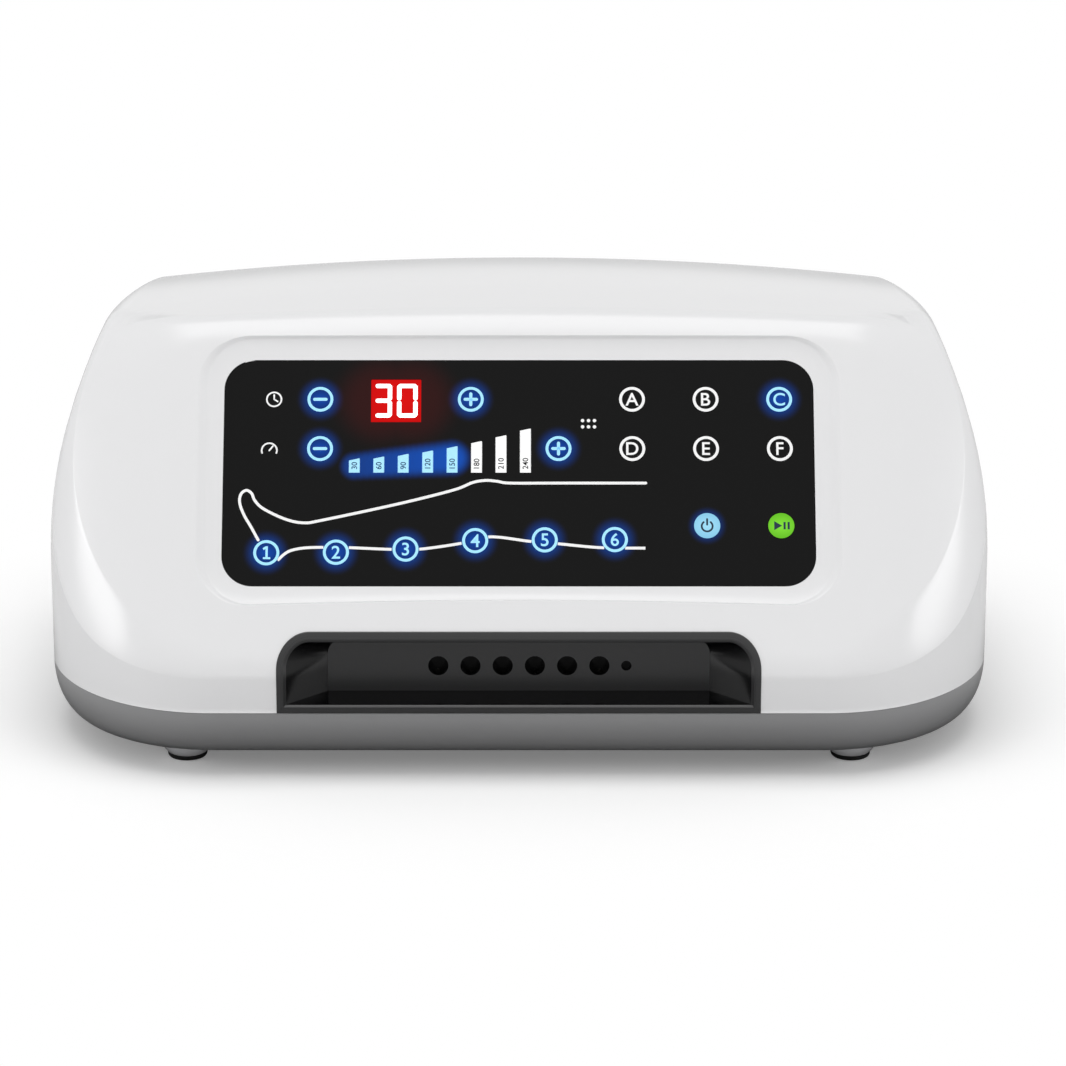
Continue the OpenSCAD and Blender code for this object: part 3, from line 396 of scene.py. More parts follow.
def finish_piece(piece, material, body="case", replaces=()):
    """Gives a piece its material and the body it moves with."""
    if not piece.data.materials:
        piece.data.materials.append(material)
    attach(piece, body)
    if replaces:
        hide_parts(*replaces)
    return piece


# Polished ABS: a soft white body with a clear gloss; the mould's polish leaves a slight waviness
white_abs = moulded_plastic("white_abs_polished_mould", "#E6E6E7", 0.22, 9.0, 0.02, 0.008)
finish_piece(cover, white_abs, replaces=["upper_cover"])

# ---- Base tray -----------------------------------------------------------------------------
# The lower half of the case, moulded in grey ABS with a satin spark texture. Its hull turns
# under to a flat bottom; a rib inside its rim locates the cover, and six screws clamp the two.
foot_h, floor_z, rib_h, rib_out, rib_in, rim_edge = 7.0, 9.6, 2.5, 2.8, 4.6, 0.35


def hull_rings(t, z_low, shares, outline, normals):
    """Rings down the hull, set in by t, which may change with the share of the way down."""
    turn = 9 - 2 * np.clip((outline[:, 1] - 100) / 70, 0, 1) \
        + np.where(normals[:, 1] < 0, 4 * normals[:, 1] ** 2, 0)
    rings = []
    for q in shares:
        inset = turn * (1 - (1 - q ** 2.2) ** 0.6) + (t(q) if callable(t) else t)
        p = outline - normals * inset[:, None]
        rings.append(np.column_stack([p, np.full(len(p), split_z + (z_low - split_z) * q)]))
    return rings


def level_ring(outline, normals, inset, z):
    p = outline - normals * inset
    return np.column_stack([p, np.full(len(p), z)])


plan = plan_outline(2)
plan_n = plan_normals(plan)
shares = np.sin(np.linspace(math.pi / 2, 0, 20))
outer = hull_rings(0, foot_h, shares, plan, plan_n)
inner = hull_rings(lambda q: wall_t + (rib_in - rib_out) * (1 - q), floor_z, (0.5, 0.75, 0.9, 1),
                   plan, plan_n)
rim = [level_ring(plan, plan_n, inset, split_z + up) for inset, up in (
    (rim_edge, 0), (rib_out, 0), (rib_out, rib_h), (rib_in, rib_h), (rib_in, 0))]
outer[-1][:, 2] -= rim_edge
tray = solid_from("tray_shell", outer + rim + inner)
screw_spots = [(-128, 60), (128, 60), (-140, 150), (140, 150), (-28, 182), (28, 182)]
foot_spots = [(sx * 123, y) for sx in (-1, 1) for y in (26, 175)]


def upright(name, loop, z0, z1):
    """An outline in the plan view, pushed from z0 up to z1."""
    return solid_from(name, [np.array([(*p, z) for p in loop], float) for z in (z0, z1)])


def posts(name, spots, r, z0, z1):
    """Round posts on several spots, as one mesh."""
    return join(name, [upright(name, circle_loop(x, y, r, 40), z0, z1) for x, y in spots])


def join(name, pieces):
    """Several pieces as one mesh."""
    form = bmesh.new()
    for piece in pieces:
        form.from_mesh(piece.data)
        bpy.data.objects.remove(piece)
    mesh = bpy.data.meshes.new(name)
    form.to_mesh(mesh)
    form.free()
    return placed(name, mesh)


# The rib is left out behind the port bay
carve(tray, upright("rib_tool", [(-90.2, 1), (90.2, 1), (90.2, 21), (-90.2, 21)],
                    split_z + 0.01, 32))
carve(tray, posts("bosses", screw_spots, 5, floor_z - 1, split_z), action="UNION")
carve(tray, posts("holes", screw_spots, 1.6, 5, 40),
      posts("counterbores", screw_spots, 3.4, 5, foot_h + 8), posts("pegs", foot_spots, 3.1, 5, 17))
soften(tray, 32)
# Satin ABS: the spark-eroded mould leaves a fine even grain that scatters the highlight
grey_abs = moulded_plastic("grey_abs_spark_texture", "#8E8E8F", 0.36, 1.1, 0.03, 0.02)
finish_piece(tray, grey_abs, replaces=["base_tray"])

# ---- Feet ----------------------------------------------------------------------------------
# Four turned-looking domes moulded in glossy grey ABS, pressed into the tray by a peg. Each
# holds a ring of black rubber that stands on the table.


def turned(name, profile, x, y, steps=64):
    """A profile of (radius, height) spun about an upright axis."""
    rings = []
    for r, z in profile:
        a = 2 * math.pi * np.arange(steps) / steps
        rings.append(np.column_stack([x + r * np.cos(a), y + r * np.sin(a), np.full(steps, z)]))
    return solid_from(name, rings)


dome = [(0.02, 1.8), (6.9, 1.8), (7.3, 2.05), (7.9, 2.7), (8.6, 3.6), (9.15, 4.6), (9.4, 5.4),
        (9.5, 6.0), (9.35, 6.3), (8.9, 6.45), (7.6, 6.5), (7.5, 6.6), (7.5, 7.0), (3.0, 7.0),
        (3.0, 11.2), (2.6, 11.6), (0.02, 11.6)]
pad = [(3.2, 1.75), (3.2, 0.3), (3.5, 0.0), (6.2, 0.0), (6.8, 0.2), (7.2, 0.7), (7.35, 1.3),
       (7.35, 1.75)]
feet = join("feet_domes", [turned("foot", dome, x, y) for x, y in foot_spots])
soften(feet, 40)
# Glossy ABS from a polished mould, so it mirrors the floor and lamps; its grey, lighter than the
# tray's, is painted light where the feet sit in the tray's shadow
glossy_grey_and_painted_light = moulded_plastic("grey_abs_polished_and_painted_light", "#C6C6C8", 0.12, 4.0, 0.01, 0.01)
finish_piece(feet, glossy_grey_and_painted_light, replaces=["feet"])
pads = join("feet_pads", [turned("pad", pad, x, y) for x, y in foot_spots])
soften(pads, 40)
# Rubber: near black and matt, with a coarse moulded grain
black_rubber = moulded_plastic("black_rubber_moulded", "#141414", 0.75, 0.9, 0.08, 0.1, 0.3)
finish_piece(pads, black_rubber, replaces=["foot_pads"])

# ---- Port bay ------------------------------------------------------------------------------
# A black ABS insert that snaps into the front. Its flange laps over the cover, with a fine
# raised lip round the mouth; behind it a tapered recess holds six hose ports and a small
# locating hole in its back wall.
edge_radius, stand, lip = 4.0, 0.58, 0.22


def apron_point(z, out):
    """Where the front's side view is at height z, and then out millimetres off the cover."""
    low, high = 0.0, math.pi / 2
    for _ in range(30):
        a = (low + high) / 2
        y = edge_radius * (1 - math.cos(a))
        h = apron_z + y * rise / run - edge_radius * (1 - math.sin(a))
        low, high = (a, high) if h < z else (low, a)
    if z <= apron_z - edge_radius:
        return -out, z
    if z > h + 0.01:
        return (z - apron_z) * run / rise - out * rise, z + out * run
    way = Vector((-rise / run * math.sin(a) - math.cos(a), math.sin(a))).normalized()
    return y + way.x * out, h + way.y * out


def mouth_loop(w, low, top, r, side_n=12, corner_n=16, across_n=24):
    """A mouth with round upper corners, with the same number of points for every size."""
    loop = [(w, low + (top - r - low) * k / side_n) for k in range(side_n)]
    for side in (1, -1):
        for k in range(corner_n + 1):
            a = math.radians(90 * k / corner_n + (0 if side > 0 else 90))
            loop.append((side * (w - r) + r * math.cos(a), top - r + r * math.sin(a)))
        if side > 0:
            loop += [(w - r - 2 * (w - r) * k / across_n, top) for k in range(1, across_n)]
    loop += [(-w, top - r + (low - top + r) * (k + 1) / side_n) for k in range(side_n)]
    return loop + [(-w + 2 * w * k / across_n, low) for k in range(1, across_n)]


def bay_outline(inset, low_inset):
    return mouth_loop(bay_half - inset, split_z + low_inset, bay_top - inset, bay_r - inset)


def bay_ring(inset, out, low_inset):
    """The bay's outline laid on the apron and lifted out millimetres off it."""
    return np.array([[x, *apron_point(z, out)] for x, z in bay_outline(inset, low_inset)])


def recess_ring(k, y):
    """The tapered recess, from the flange (k = 0) to its back wall at depth y (k = 1)."""
    loop = mouth_loop(bay_half - 3.3 - 15 * k, 29.2 + 0.4 * k, 51.3 - 1.6 * k, 8.7 - 3 * k)
    return np.array([[x, apron_point(z, 0)[0] * (1 - k) + y * k, z] for x, z in loop])


back_y = 14.0
behind_flange = [np.array([[x, back_y + 3, z] for x, z in bay_outline(2.6, 0.0)]),
                 bay_ring(2.6, -2.0, 0.0)]
flange = [bay_ring(2.6, 0.02, 0.0), bay_ring(0.0, 0.02, 0.0), bay_ring(0.0, 0.3, 0.0),
          bay_ring(0.12, 0.48, 0.08), bay_ring(0.4, stand, 0.3), bay_ring(2.0, stand, 1.8),
          bay_ring(2.15, stand + lip, 1.95), bay_ring(2.55, stand + lip, 2.35),
          bay_ring(2.75, stand, 2.6), bay_ring(3.15, 0.2, 3.0)]
recess = [recess_ring(k, back_y) for k in (0.02, 0.5, 0.96, 1.0)]
bay = solid_from("port_bay_insert", behind_flange + flange + recess)
# Satin ABS: black with a soft sheen on the flange, so its edges catch a thin grey line
black_abs = moulded_plastic("black_abs_satin_mould", "#1B1B1C", 0.32, 1.4, 0.02, 0.08)
# Polished ABS: the recess is from a polished core of the mould, with a clear streak; its colour,
# darker than the flange's, is painted shade in the recess
recess_gloss_and_painted_shade = moulded_plastic("black_abs_polished_and_painted_shade", "#060607", 0.14, 3.0, 0.004, 0.08, 0.3)
bay.data.materials.append(black_abs)
bay.data.materials.append(recess_gloss_and_painted_shade)
around = len(flange[0])
sleeve = (len(behind_flange) + len(flange)) * around
# The recess's faces take the darker colour, painted shade in the recess
for face in bay.data.polygons:
    face.material_index = int(sleeve <= face.index < sleeve + 3 * around)
port_z, port_r, port_pitch = 39.3, 3.7, 11.8
port_x = [(i - 2.5) * port_pitch for i in range(6)]
locating_x = 2.5 * port_pitch + 9.9


def tube_back(name, x, r, front, end, steps=48):
    """A round bar along the bay's depth, from front to end behind the back wall."""
    return plain_prism(name, circle_loop(x, port_z, r, steps), back_y + front, back_y + end)


stubs = join("stubs", [tube_back("stub", x, 5.2, 1, 16) for x in port_x]
             + [tube_back("boss", locating_x, 3.6, 1, 8)])
tails = join("tails", [tube_back("tail", x, 2.6, 12, 24, 32) for x in port_x])
carve(bay, stubs, tails, action="UNION")
bores = join("bores", [tube_back("bore", x, port_r, -2, 14) for x in port_x]
             + [tube_back("bore", locating_x, 1.9, -2, 6)])
ways = join("ways", [tube_back("way", x, 1.4, 10, 30, 32) for x in port_x])
carve(bay, bores, ways)
# The bores and stubs behind the back wall take the darker colour too, painted shade
for face in bay.data.polygons:
    if face.center.y > (front_y + back_y + 0.1) / 1000:
        face.material_index = 1
soften(bay, 35)
finish_piece(bay, black_abs, replaces=["port_bay"])

# ---- Key overlay ---------------------------------------------------------------------------
# A plate of polycarbonate printed black on its back and bonded into the dished border. The
# lamps behind it bleed a blue halo round the lit keys, and a red one round the time display.
row_top, row_mid, row_low = 103.2, 84.2, 54.7
mode_x = (41.8, 69.0, 96.2)
key_places = {"time_down": (-73.4, row_top), "time_up": (-17.8, row_top),
              "pressure_down": (-73.3, row_mid), "pressure_up": (14.6, row_mid),
              "power": (69.1, row_low), "play": (96.3, row_low)}
key_places.update({f"mode_{c}": (x, t) for c, x, t in zip(
    "abcdef", mode_x * 2, (row_top,) * 3 + (row_mid,) * 3)})
key_places.update({f"position_{i + 1}": p for i, p in enumerate(zip(
    (-92.5, -67.0, -41.5, -16.0, 9.5, 35.2), (44.4, 44.6, 45.8, 49.0, 49.3, 49.4)))})
lit_keys = ["time_down", "time_up", "pressure_down", "pressure_up", "mode_c"] \
    + [f"position_{i}" for i in range(1, 7)]
display_x, display_t = -45.4, 102.7
bar_x0, bar_pitch, bar_t0 = -60.6, 9.0, 74.1
overlay_n, key_n = -2.4, -2.3


def on_face(x, t, n):
    return FACE @ Vector((x / 1000, t / 1000, n / 1000))


def halo(material, total, place, centre, near_mm, far_mm, strength):
    """Adds a glow that falls off with the distance from centre, and returns the sum so far."""
    away = add(material, "ShaderNodeVectorMath", {"operation": "DISTANCE", 1: centre}, {0: place})
    fall = add(material, "ShaderNodeMapRange", {"interpolation_type": "SMOOTHERSTEP",
               1: near_mm / 1000, 2: far_mm / 1000, 3: strength, 4: 0.0},
               {"Value": away.outputs["Value"]})
    if total is None:
        return fall.outputs[0]
    return add(material, "ShaderNodeMath", {"operation": "MAXIMUM"},
               {0: total, 1: fall.outputs[0]}).outputs[0]


# Polycarbonate: a hard flat gloss over black ink, with the faint drift of the print
black_panel = moulded_plastic("black_printed_polycarbonate", "#0C0C0C", 0.20, 3.0, 0.004, 0.06, 0.1)
place = add(black_panel, "ShaderNodeTexCoord").outputs["Object"]
blue = None
for key in lit_keys:
    blue = halo(black_panel, blue, place, on_face(*key_places[key], overlay_n), 2.5, 9.6, 0.50)
blue = halo(black_panel, blue, place, on_face(*key_places["power"], overlay_n), 3.5, 8.0, 0.3)
for i in range(17):
    spot = on_face(bar_x0 + bar_pitch * i / 4, bar_t0 + 3.4 + 0.19 * i, overlay_n)
    blue = halo(black_panel, blue, place, spot, 2.2, 6.6 + 0.12 * i, 0.5 + 0.03 * i)
red = None
for dx in (-5.5, 5.5):
    red = halo(black_panel, red, place, on_face(display_x + dx, display_t, overlay_n), 6, 22, 0.024)
glow = add(black_panel, "ShaderNodeMix", {"data_type": "RGBA", "blend_type": "ADD", 0: 1.0},
           {6: add(black_panel, "ShaderNodeMix", {"data_type": "RGBA", 6: (0, 0, 0, 1),
                   7: tone("#004CB4")}, {0: blue}).outputs[2],
            7: add(black_panel, "ShaderNodeMix", {"data_type": "RGBA", 6: (0, 0, 0, 1),
                   7: tone("#FF1808")}, {0: red}).outputs[2]})
feed(black_panel, black_panel.node_tree.nodes["Principled BSDF"],
     {"Emission Strength": 1.0}, {"Emission Color": glow.outputs[2]})


def dress(node, material):
    """Gives a CAD piece its finish."""
    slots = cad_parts[node].data.materials
    slots.clear()
    slots.append(material)


dress("key_overlay", black_panel)

# ---- Keys ----------------------------------------------------------------------------------
# Eighteen round caps of the same printed polycarbonate, each over a tactile switch. A ring and
# its sign are printed on top; lit keys have blue ink that glows from behind.


def lamp_plastic(name, colour, edge, strength, roughness=0.3):
    """A light guide: the middle is a little brighter than the edge, under a smooth skin."""
    material, shader = blank(name)
    place = add(material, "ShaderNodeTexCoord").outputs["Generated"]
    away = add(material, "ShaderNodeVectorMath", {"operation": "DISTANCE", 1: (0.5, 0.5, 0.5)},
               {0: place})
    fade = add(material, "ShaderNodeMapRange", {1: 0.1, 2: 0.62, 3: 0.0, 4: 1.0},
               {"Value": away.outputs["Value"]})
    mix = add(material, "ShaderNodeMix", {"data_type": "RGBA", 6: tone(colour), 7: tone(edge)},
              {0: fade.outputs[0]})
    feed(material, shader, {"Base Color": (0.002, 0.002, 0.002, 1), "Roughness": roughness,
         "Specular IOR Level": 0.06, "Emission Strength": strength},
         {"Emission Color": mix.outputs[2]})
    return material


def ink(name, colour, glow=0.0):
    """Screen ink: opaque, satin, with the faint mottle of the print."""
    material = moulded_plastic(name, colour, 0.45, 0.4, 0.004, 0.03, 0.3)
    feed(material, material.node_tree.nodes["Principled BSDF"],
         {"Emission Color": tone(colour), "Emission Strength": glow})
    return material


# The white print glows faintly of itself, painted light on print that no lamp lights from behind
white_ink_and_painted_glow = ink("white_screen_ink_painted_glow", "#F4F4F4", 0.06)
lit_ink = ink("lit_blue_screen_ink", "#A2E0FA", 0.16)
blue_fill = lamp_plastic("blue_backlit_ink", "#0A44A4", "#07327C", 1.0)
power_fill = lamp_plastic("pale_blue_backlit_ink", "#A4E4FF", "#8FD2F2", 0.95)
play_fill = lamp_plastic("green_backlit_ink", "#86E63A", "#6CC928", 0.95)
dark_ink = ink("dark_screen_ink", "#10283C")


def ribbon(points, width, closed=False, round_ends=True):
    """A line of even width through 2-D points, as rows of (left, right) and its end caps."""
    p = np.array(points, float)
    along = (np.roll(p, -1, 0) - np.roll(p, 1, 0)) if closed else np.gradient(p, axis=0)
    along /= np.linalg.norm(along, axis=1)[:, None]
    side = np.stack([-along[:, 1], along[:, 0]], 1) * width / 2
    left, right = list(p + side), list(p - side)
    if closed:
        return [("strip", left + [left[0]], right + [right[0]])]
    shapes = [("strip", left, right)]
    if round_ends:
        for end, way in ((p[0], -along[0]), (p[-1], along[-1])):
            base = math.atan2(way[1], way[0])
            cap = np.linspace(base - math.pi / 2, base + math.pi / 2, 9)
            shapes.append(("fan", [end + width / 2 * np.array([math.cos(a), math.sin(a)])
                                   for a in cap]))
    return shapes


def smooth_line(points, steps=10):
    """A curve through given points."""
    p = [np.array(q, float) for q in points]
    p = [2 * p[0] - p[1]] + p + [2 * p[-1] - p[-2]]
    line = []
    for a, b, c, d in zip(p, p[1:], p[2:], p[3:]):
        for k in range(steps):
            u = k / steps
            line.append(0.5 * (2 * b + (c - a) * u + (2 * a - 5 * b + 4 * c - d) * u * u
                               + (3 * b - a - 3 * c + d) * u ** 3))
    return line + [p[-2]]


def print_shapes(name, groups, n, thick=0.03):
    """Flat prints on the key face: each group is (material, shapes), laid at height n."""
    form = bmesh.new()
    materials = []
    for material, shapes in groups:
        materials.append(material)
        for shape in shapes:
            new_faces = []
            if shape[0] == "strip":
                tops = [[form.verts.new(on_face(q[0], q[1], n + thick)) for q in row]
                        for row in shape[1:3]]
                for a, b, c, d in zip(tops[0], tops[0][1:], tops[1][1:], tops[1]):
                    new_faces.append(form.faces.new((a, d, c, b)))
            else:
                new_faces.append(form.faces.new(
                    [form.verts.new(on_face(q[0], q[1], n + thick)) for q in shape[1]]))
            for face in new_faces:
                face.material_index = len(materials) - 1
    bmesh.ops.recalc_face_normals(form, faces=form.faces[:])
    outward = Vector((0, -rise, run))
    for face in form.faces:
        if face.normal.dot(outward) < 0:
            face.normal_flip()
    bmesh.ops.solidify(form, geom=form.faces[:], thickness=thick / 1000)
    mesh = bpy.data.meshes.new(name)
    form.to_mesh(mesh)
    form.free()
    for material in materials:
        mesh.materials.append(material)
    return placed(name, mesh)


def lettering(text, height, x, t, turn=0.0, heavy=0.0):
    """Characters as flat shapes, height millimetres tall and centred on the spot."""
    curve = bpy.data.curves.new("lettering", "FONT")
    curve.body, curve.size, curve.offset = text, 1.0, heavy
    curve.resolution_u = 6
    holder = placed("lettering", curve)
    mesh = bpy.data.meshes.new_from_object(
        holder.evaluated_get(bpy.context.evaluated_depsgraph_get()))
    bpy.data.objects.remove(holder)
    bpy.data.curves.remove(curve)
    p = np.array([v.co[:2] for v in mesh.vertices])
    low, high = p.min(0), p.max(0)
    p = (p - (low + high) / 2) * height / (high[1] - low[1])
    c, s = math.cos(turn), math.sin(turn)
    p = p @ np.array([[c, s], [-s, c]]) + [x, t]
    return [("fan", [p[i] for i in face.vertices]) for face in mesh.polygons]


signs = {f"mode_{c}": c.upper() for c in "abcdef"}
signs.update({f"position_{i}": str(i) for i in range(1, 7)})
ring_r, line_w, lit_r, fill_r = 4.25, 1.05, 3.74, 4.8
print_n, print_step = key_n + 0.01, 0.02      # each layer of ink lies a little over the last
for key, (x, t) in key_places.items():
    dress(f"{key}_key", black_panel)
    line = lit_ink if key in lit_keys else white_ink_and_painted_glow
    shapes = ribbon(circle_loop(x, t, ring_r), line_w, closed=True)
    if key == "position_1":
        shapes += [("fan", [(x + 0.55, t + 2.45), (x - 0.2, t + 2.45), (x - 1.35, t + 1.75),
                            (x - 1.0, t + 1.05), (x - 0.3, t + 1.4), (x - 0.3, t - 1.7),
                            (x + 0.55, t - 1.7)]),
                   ("fan", box_loop(x + 0.15, t - 2.07, 2.7, 0.74, 0.1))]
    elif key in signs:
        shapes += lettering(signs[key], 4.9, x, t, heavy=0.012)
    elif key.endswith(("_down", "_up")):
        shapes += ribbon([(x - 2.1, t), (x, t), (x + 2.1, t)], 1.15)
        if key.endswith("_up"):
            shapes += ribbon([(x, t - 2.1), (x, t), (x, t + 2.1)], 1.15)
    groups = [(line, shapes)]
    if key in lit_keys:
        groups = [(blue_fill, [("fan", circle_loop(x, t, lit_r))]), (line, shapes)]
    if key == "power":
        bow = [(x + 2.0 * math.cos(math.radians(a)), t - 0.2 + 2.0 * math.sin(math.radians(a)))
               for a in range(130, 411, 10)]
        bow = ribbon(bow, 0.7) + ribbon([(x, t + up) for up in (0.4, 1.4, 2.5)], 0.7)
        groups = [(power_fill, [("fan", circle_loop(x, t, fill_r))]), (dark_ink, bow)]
    if key == "play":
        marks = [("fan", [(x - 2.6, t - 1.7), (x + 0.3, t), (x - 2.6, t + 1.7)])]
        for across in (1.2, 2.7):
            marks += ribbon([(x + across, t + up) for up in (-1.4, 0, 1.4)], 0.8,
                            round_ends=False)
        groups = [(play_fill, [("fan", circle_loop(x, t, fill_r))]), (dark_ink, marks)]
    pieces = [print_shapes(f"{key}_print_{i}", [group], print_n + print_step * i)
              for i, group in enumerate(groups)]
    for piece in pieces:
        finish_piece(piece, line, body=f"{key}_key")

# ---- Panel prints --------------------------------------------------------------------------
# White screen print on the overlay: the outline of a leg that runs through the six position
# keys, and small plain signs beside the key rows.


row_px, middle_px = 399.2, 519          # the upper key row and the middle, in the picture
px_per_mm, mm_per_px, narrowing = 2.583, 0.3701, 0.0000836


def from_picture(x_px, y_px):
    """Millimetres on the key face for a place measured in the picture. The face comes nearer
    to the camera further down, so a pixel is worth less there."""
    t = row_top - (y_px - row_px) / px_per_mm
    return (x_px - middle_px) * (mm_per_px - (row_top - t) * narrowing), t


upper_line = smooth_line([from_picture(*p) for p in (
    (257.6, 538.5), (250.6, 525.8), (243.4, 513.5), (239.4, 502), (240.6, 493.5), (246, 489.6),
    (251.3, 492.6),
    (254.8, 500), (263.5, 508), (285, 518), (303, 521.6), (322, 519), (398, 503), (453, 489.4),
    (473, 481.8), (486, 479.8), (497, 480.6), (510.6, 482.4), (560, 482.4), (646, 482.4))])
lower_line = smooth_line([from_picture(*p) for p in (
    (277, 558.5), (283, 553), (290, 549), (303, 546.4), (323, 545.7), (348.5, 546), (392, 547.7),
    (419.7, 547.5), (461, 541.8), (490, 535.4), (530, 539.8), (558.6, 542.2), (601, 546),
    (646, 546.5))], 60)
# The lower line is broken where it runs behind a position key
key_middles = [key_places[f"position_{i}"] for i in range(1, 7)]
runs = [[]]
for q in lower_line:
    if min(math.dist(q, c) for c in key_middles) > 4.9:
        runs[-1].append(q)
    elif runs[-1]:
        runs.append([])
leg = ribbon(upper_line, line_w)
for line in runs:
    if len(line) > 2:
        leg += ribbon(line, line_w, round_ends=False)
# A clock beside the time keys, a gauge beside the pressure keys and dots beside the mode keys
clock_x, gauge_x, gauge_t, fine_w = -90.5, -92.0, row_mid - 0.7, 0.6
clock = ribbon(circle_loop(clock_x, row_top, 2.7, 40), fine_w, closed=True) \
    + ribbon([(clock_x, row_top + up) for up in (1.7, 0.8, 0)], fine_w) \
    + ribbon([(clock_x + across, row_top - down)
              for across, down in ((0, 0), (0.7, 0.4), (1.3, 0.8))], fine_w)
arc = [(gauge_x + 2.8 * math.cos(math.radians(a)), gauge_t + 2.8 * math.sin(math.radians(a)))
       for a in range(-20, 201, 10)]
gauge = ribbon(arc, fine_w) + ribbon([(gauge_x + across, gauge_t + up)
                                      for across, up in ((0, 0), (0.7, 0.9), (1.3, 1.7))], fine_w)
dots = [("fan", circle_loop(23.5 + 2.2 * i, 95.0 - 2.4 * j, 0.65, 20))
        for i in range(3) for j in range(2)]
finish_piece(print_shapes("panel_print", [(white_ink_and_painted_glow, leg + clock + gauge + dots)],
                          overlay_n + 0.01), white_ink_and_painted_glow)

# ---- Displays ------------------------------------------------------------------------------
# The time display is a red filter window over two seven-segment digits. The pressure display
# is a row of eight light guides of growing height, the first five lit, each with its number.
red_filter = lamp_plastic("red_filter_acrylic", "#EC0404", "#D80000", 0.9, 0.15)
dress("time_display", red_filter)
# Frosted acrylic: pale blue where it is lit, else white, with the fine unevenness of the frost.
# Every guide glows faintly in its own colour, which on the unlit white ones is painted light
bar_guides, bar_shader = blank("frosted_light_guide_acrylic")
bar_place = add(bar_guides, "ShaderNodeTexCoord").outputs["Object"]
bar_x = add(bar_guides, "ShaderNodeSeparateXYZ", None, {0: bar_place}).outputs[0]
bar_lit = add(bar_guides, "ShaderNodeMath", {"operation": "LESS_THAN",
              1: (bar_x0 + 4.5 * bar_pitch) / 1000}, {0: bar_x})
bar_mix = add(bar_guides, "ShaderNodeMix", {"data_type": "RGBA", 6: tone("#F8F8F8"),
              7: tone("#A6E2FB")}, {0: bar_lit.outputs[0]})
bar_frost = add(bar_guides, "ShaderNodeTexNoise", {"Scale": 1000 / 0.5}, {"Vector": bar_place})
bar_rough = add(bar_guides, "ShaderNodeMapRange", {3: 0.35, 4: 0.55},
                {"Value": bar_frost.outputs["Fac"]})
feed(bar_guides, bar_shader, {"Emission Strength": 0.14},
     {"Base Color": bar_mix.outputs[2], "Emission Color": bar_mix.outputs[2],
      "Roughness": bar_rough.outputs[0]})
dress("bar_display", bar_guides)
lit_digit = ink("lit_white_segment", "#FFFFFF", 0.9)
seg_w, digit_h = 1.6, 13.0


def digit(x, t, wide, segments):
    """Seven-segment digit centred on (x, t): top, middle, bottom, then the four uprights."""
    half, up = wide / 2 - seg_w / 2, digit_h / 2 - seg_w / 2
    end, gap = 0.4, 0.9
    bars = {"top": ((-half + end, up), (half - end, up)),
            "mid": ((-half + end, 0), (half - 0.5, 0)),
            "low": ((-half + end, -up), (half - end, -up)),
            "ul": ((-half, up - end), (-half, gap)), "ll": ((-half, -gap), (-half, -up + end)),
            "ur": ((half, up - end), (half, gap)), "lr": ((half, -gap), (half, -up + end))}
    shapes = []
    for name in segments:
        (x0, t0), (x1, t1) = bars[name]
        shapes += ribbon([(x + x0, t + t0), (x + (x0 + x1) / 2, t + (t0 + t1) / 2),
                          (x + x1, t + t1)], seg_w)
    return shapes


digits = digit(display_x - 4.75, display_t, 6.5, ("top", "mid", "low", "ur", "lr")) \
    + digit(display_x + 4.15, display_t, 7.6, ("top", "low", "ul", "ll", "ur", "lr"))
finish_piece(print_shapes("time_digits", [(lit_digit, digits)], overlay_n - 0.04),
             lit_digit)
# The guides are square bars: black ink masks a slant off their tops and evens their feet
bar_numbers, bar_numbers_plain, bar_mask = [], [], []
for i in range(8):
    x, top = bar_x0 + bar_pitch * i, bar_t0 + 6.5 + 0.55 * i + 0.155 * i * i
    spot = (x, bar_t0 + (3.6 if i < 3 else 4.4))
    shapes = lettering(str(30 * (i + 1)), 2.1, *spot, turn=math.pi / 2, heavy=0.008)
    (bar_numbers if i < 5 else bar_numbers_plain).extend(shapes)
    bar_mask.append(("fan", [(x - 2.1, top), (x + 2.1, top), (x - 2.1, top - 0.95)]))
    bar_mask.append(("fan", box_loop(x, bar_t0 + 0.45, 4.2, 0.9, 0.05)))
blue_ink = ink("blue_screen_ink", "#0B3A66")
black_ink = ink("black_screen_ink", "#0E0E0E")
finish_piece(print_shapes("bar_numbers", [
    (blue_ink, bar_numbers), (black_ink, bar_numbers_plain), (black_panel, bar_mask)],
    overlay_n - 0.04), blue_ink)

# ---- Rear fittings -------------------------------------------------------------------------
# The mains inlet, fuse holder, rocker switch, air filter and fan grille are bought parts in
# black thermoplastic, clipped or screwed into the rear wall.
# Moulded PBT: black and satin. Polished nylon: the rocker alone has a gloss
black_pbt = moulded_plastic("black_pbt_moulded", "#18181A", 0.38, 0.8, 0.02, 0.08)
for node in ("mains_inlet", "fuse_holder", "switch_frame", "fan_grille", "air_filter",
             "fan_frame", "fan_rotor"):
    dress(node, black_pbt)
rocker_gloss = moulded_plastic("black_nylon_polished", "#101012", 0.22, 2.0, 0.01, 0.05)
dress("power_rocker", rocker_gloss)

# ---- Works inside the case -----------------------------------------------------------------
# A linear compressor on rubber mounts feeds a manifold with six solenoid valves, and silicone
# hoses run from it to the ports. A mains transformer and a control board fill the right side.


def metal(name, colour, roughness, scratch_mm):
    """Bare metal with the fine scratches of its working."""
    material, shader = blank(name)
    place = add(material, "ShaderNodeTexCoord").outputs["Object"]
    stretch = add(material, "ShaderNodeMapping", {"Scale": (1, 1, 12)}, {"Vector": place})
    scratch = add(material, "ShaderNodeTexNoise", {"Scale": 1000 / scratch_mm / 12, "Detail": 4},
                  {"Vector": stretch.outputs[0]})
    rough = add(material, "ShaderNodeMapRange", {3: roughness * 0.8, 4: roughness * 1.3},
                {"Value": scratch.outputs["Fac"]})
    feed(material, shader, {"Base Color": tone(colour), "Metallic": 1.0},
         {"Roughness": rough.outputs[0]})
    return material


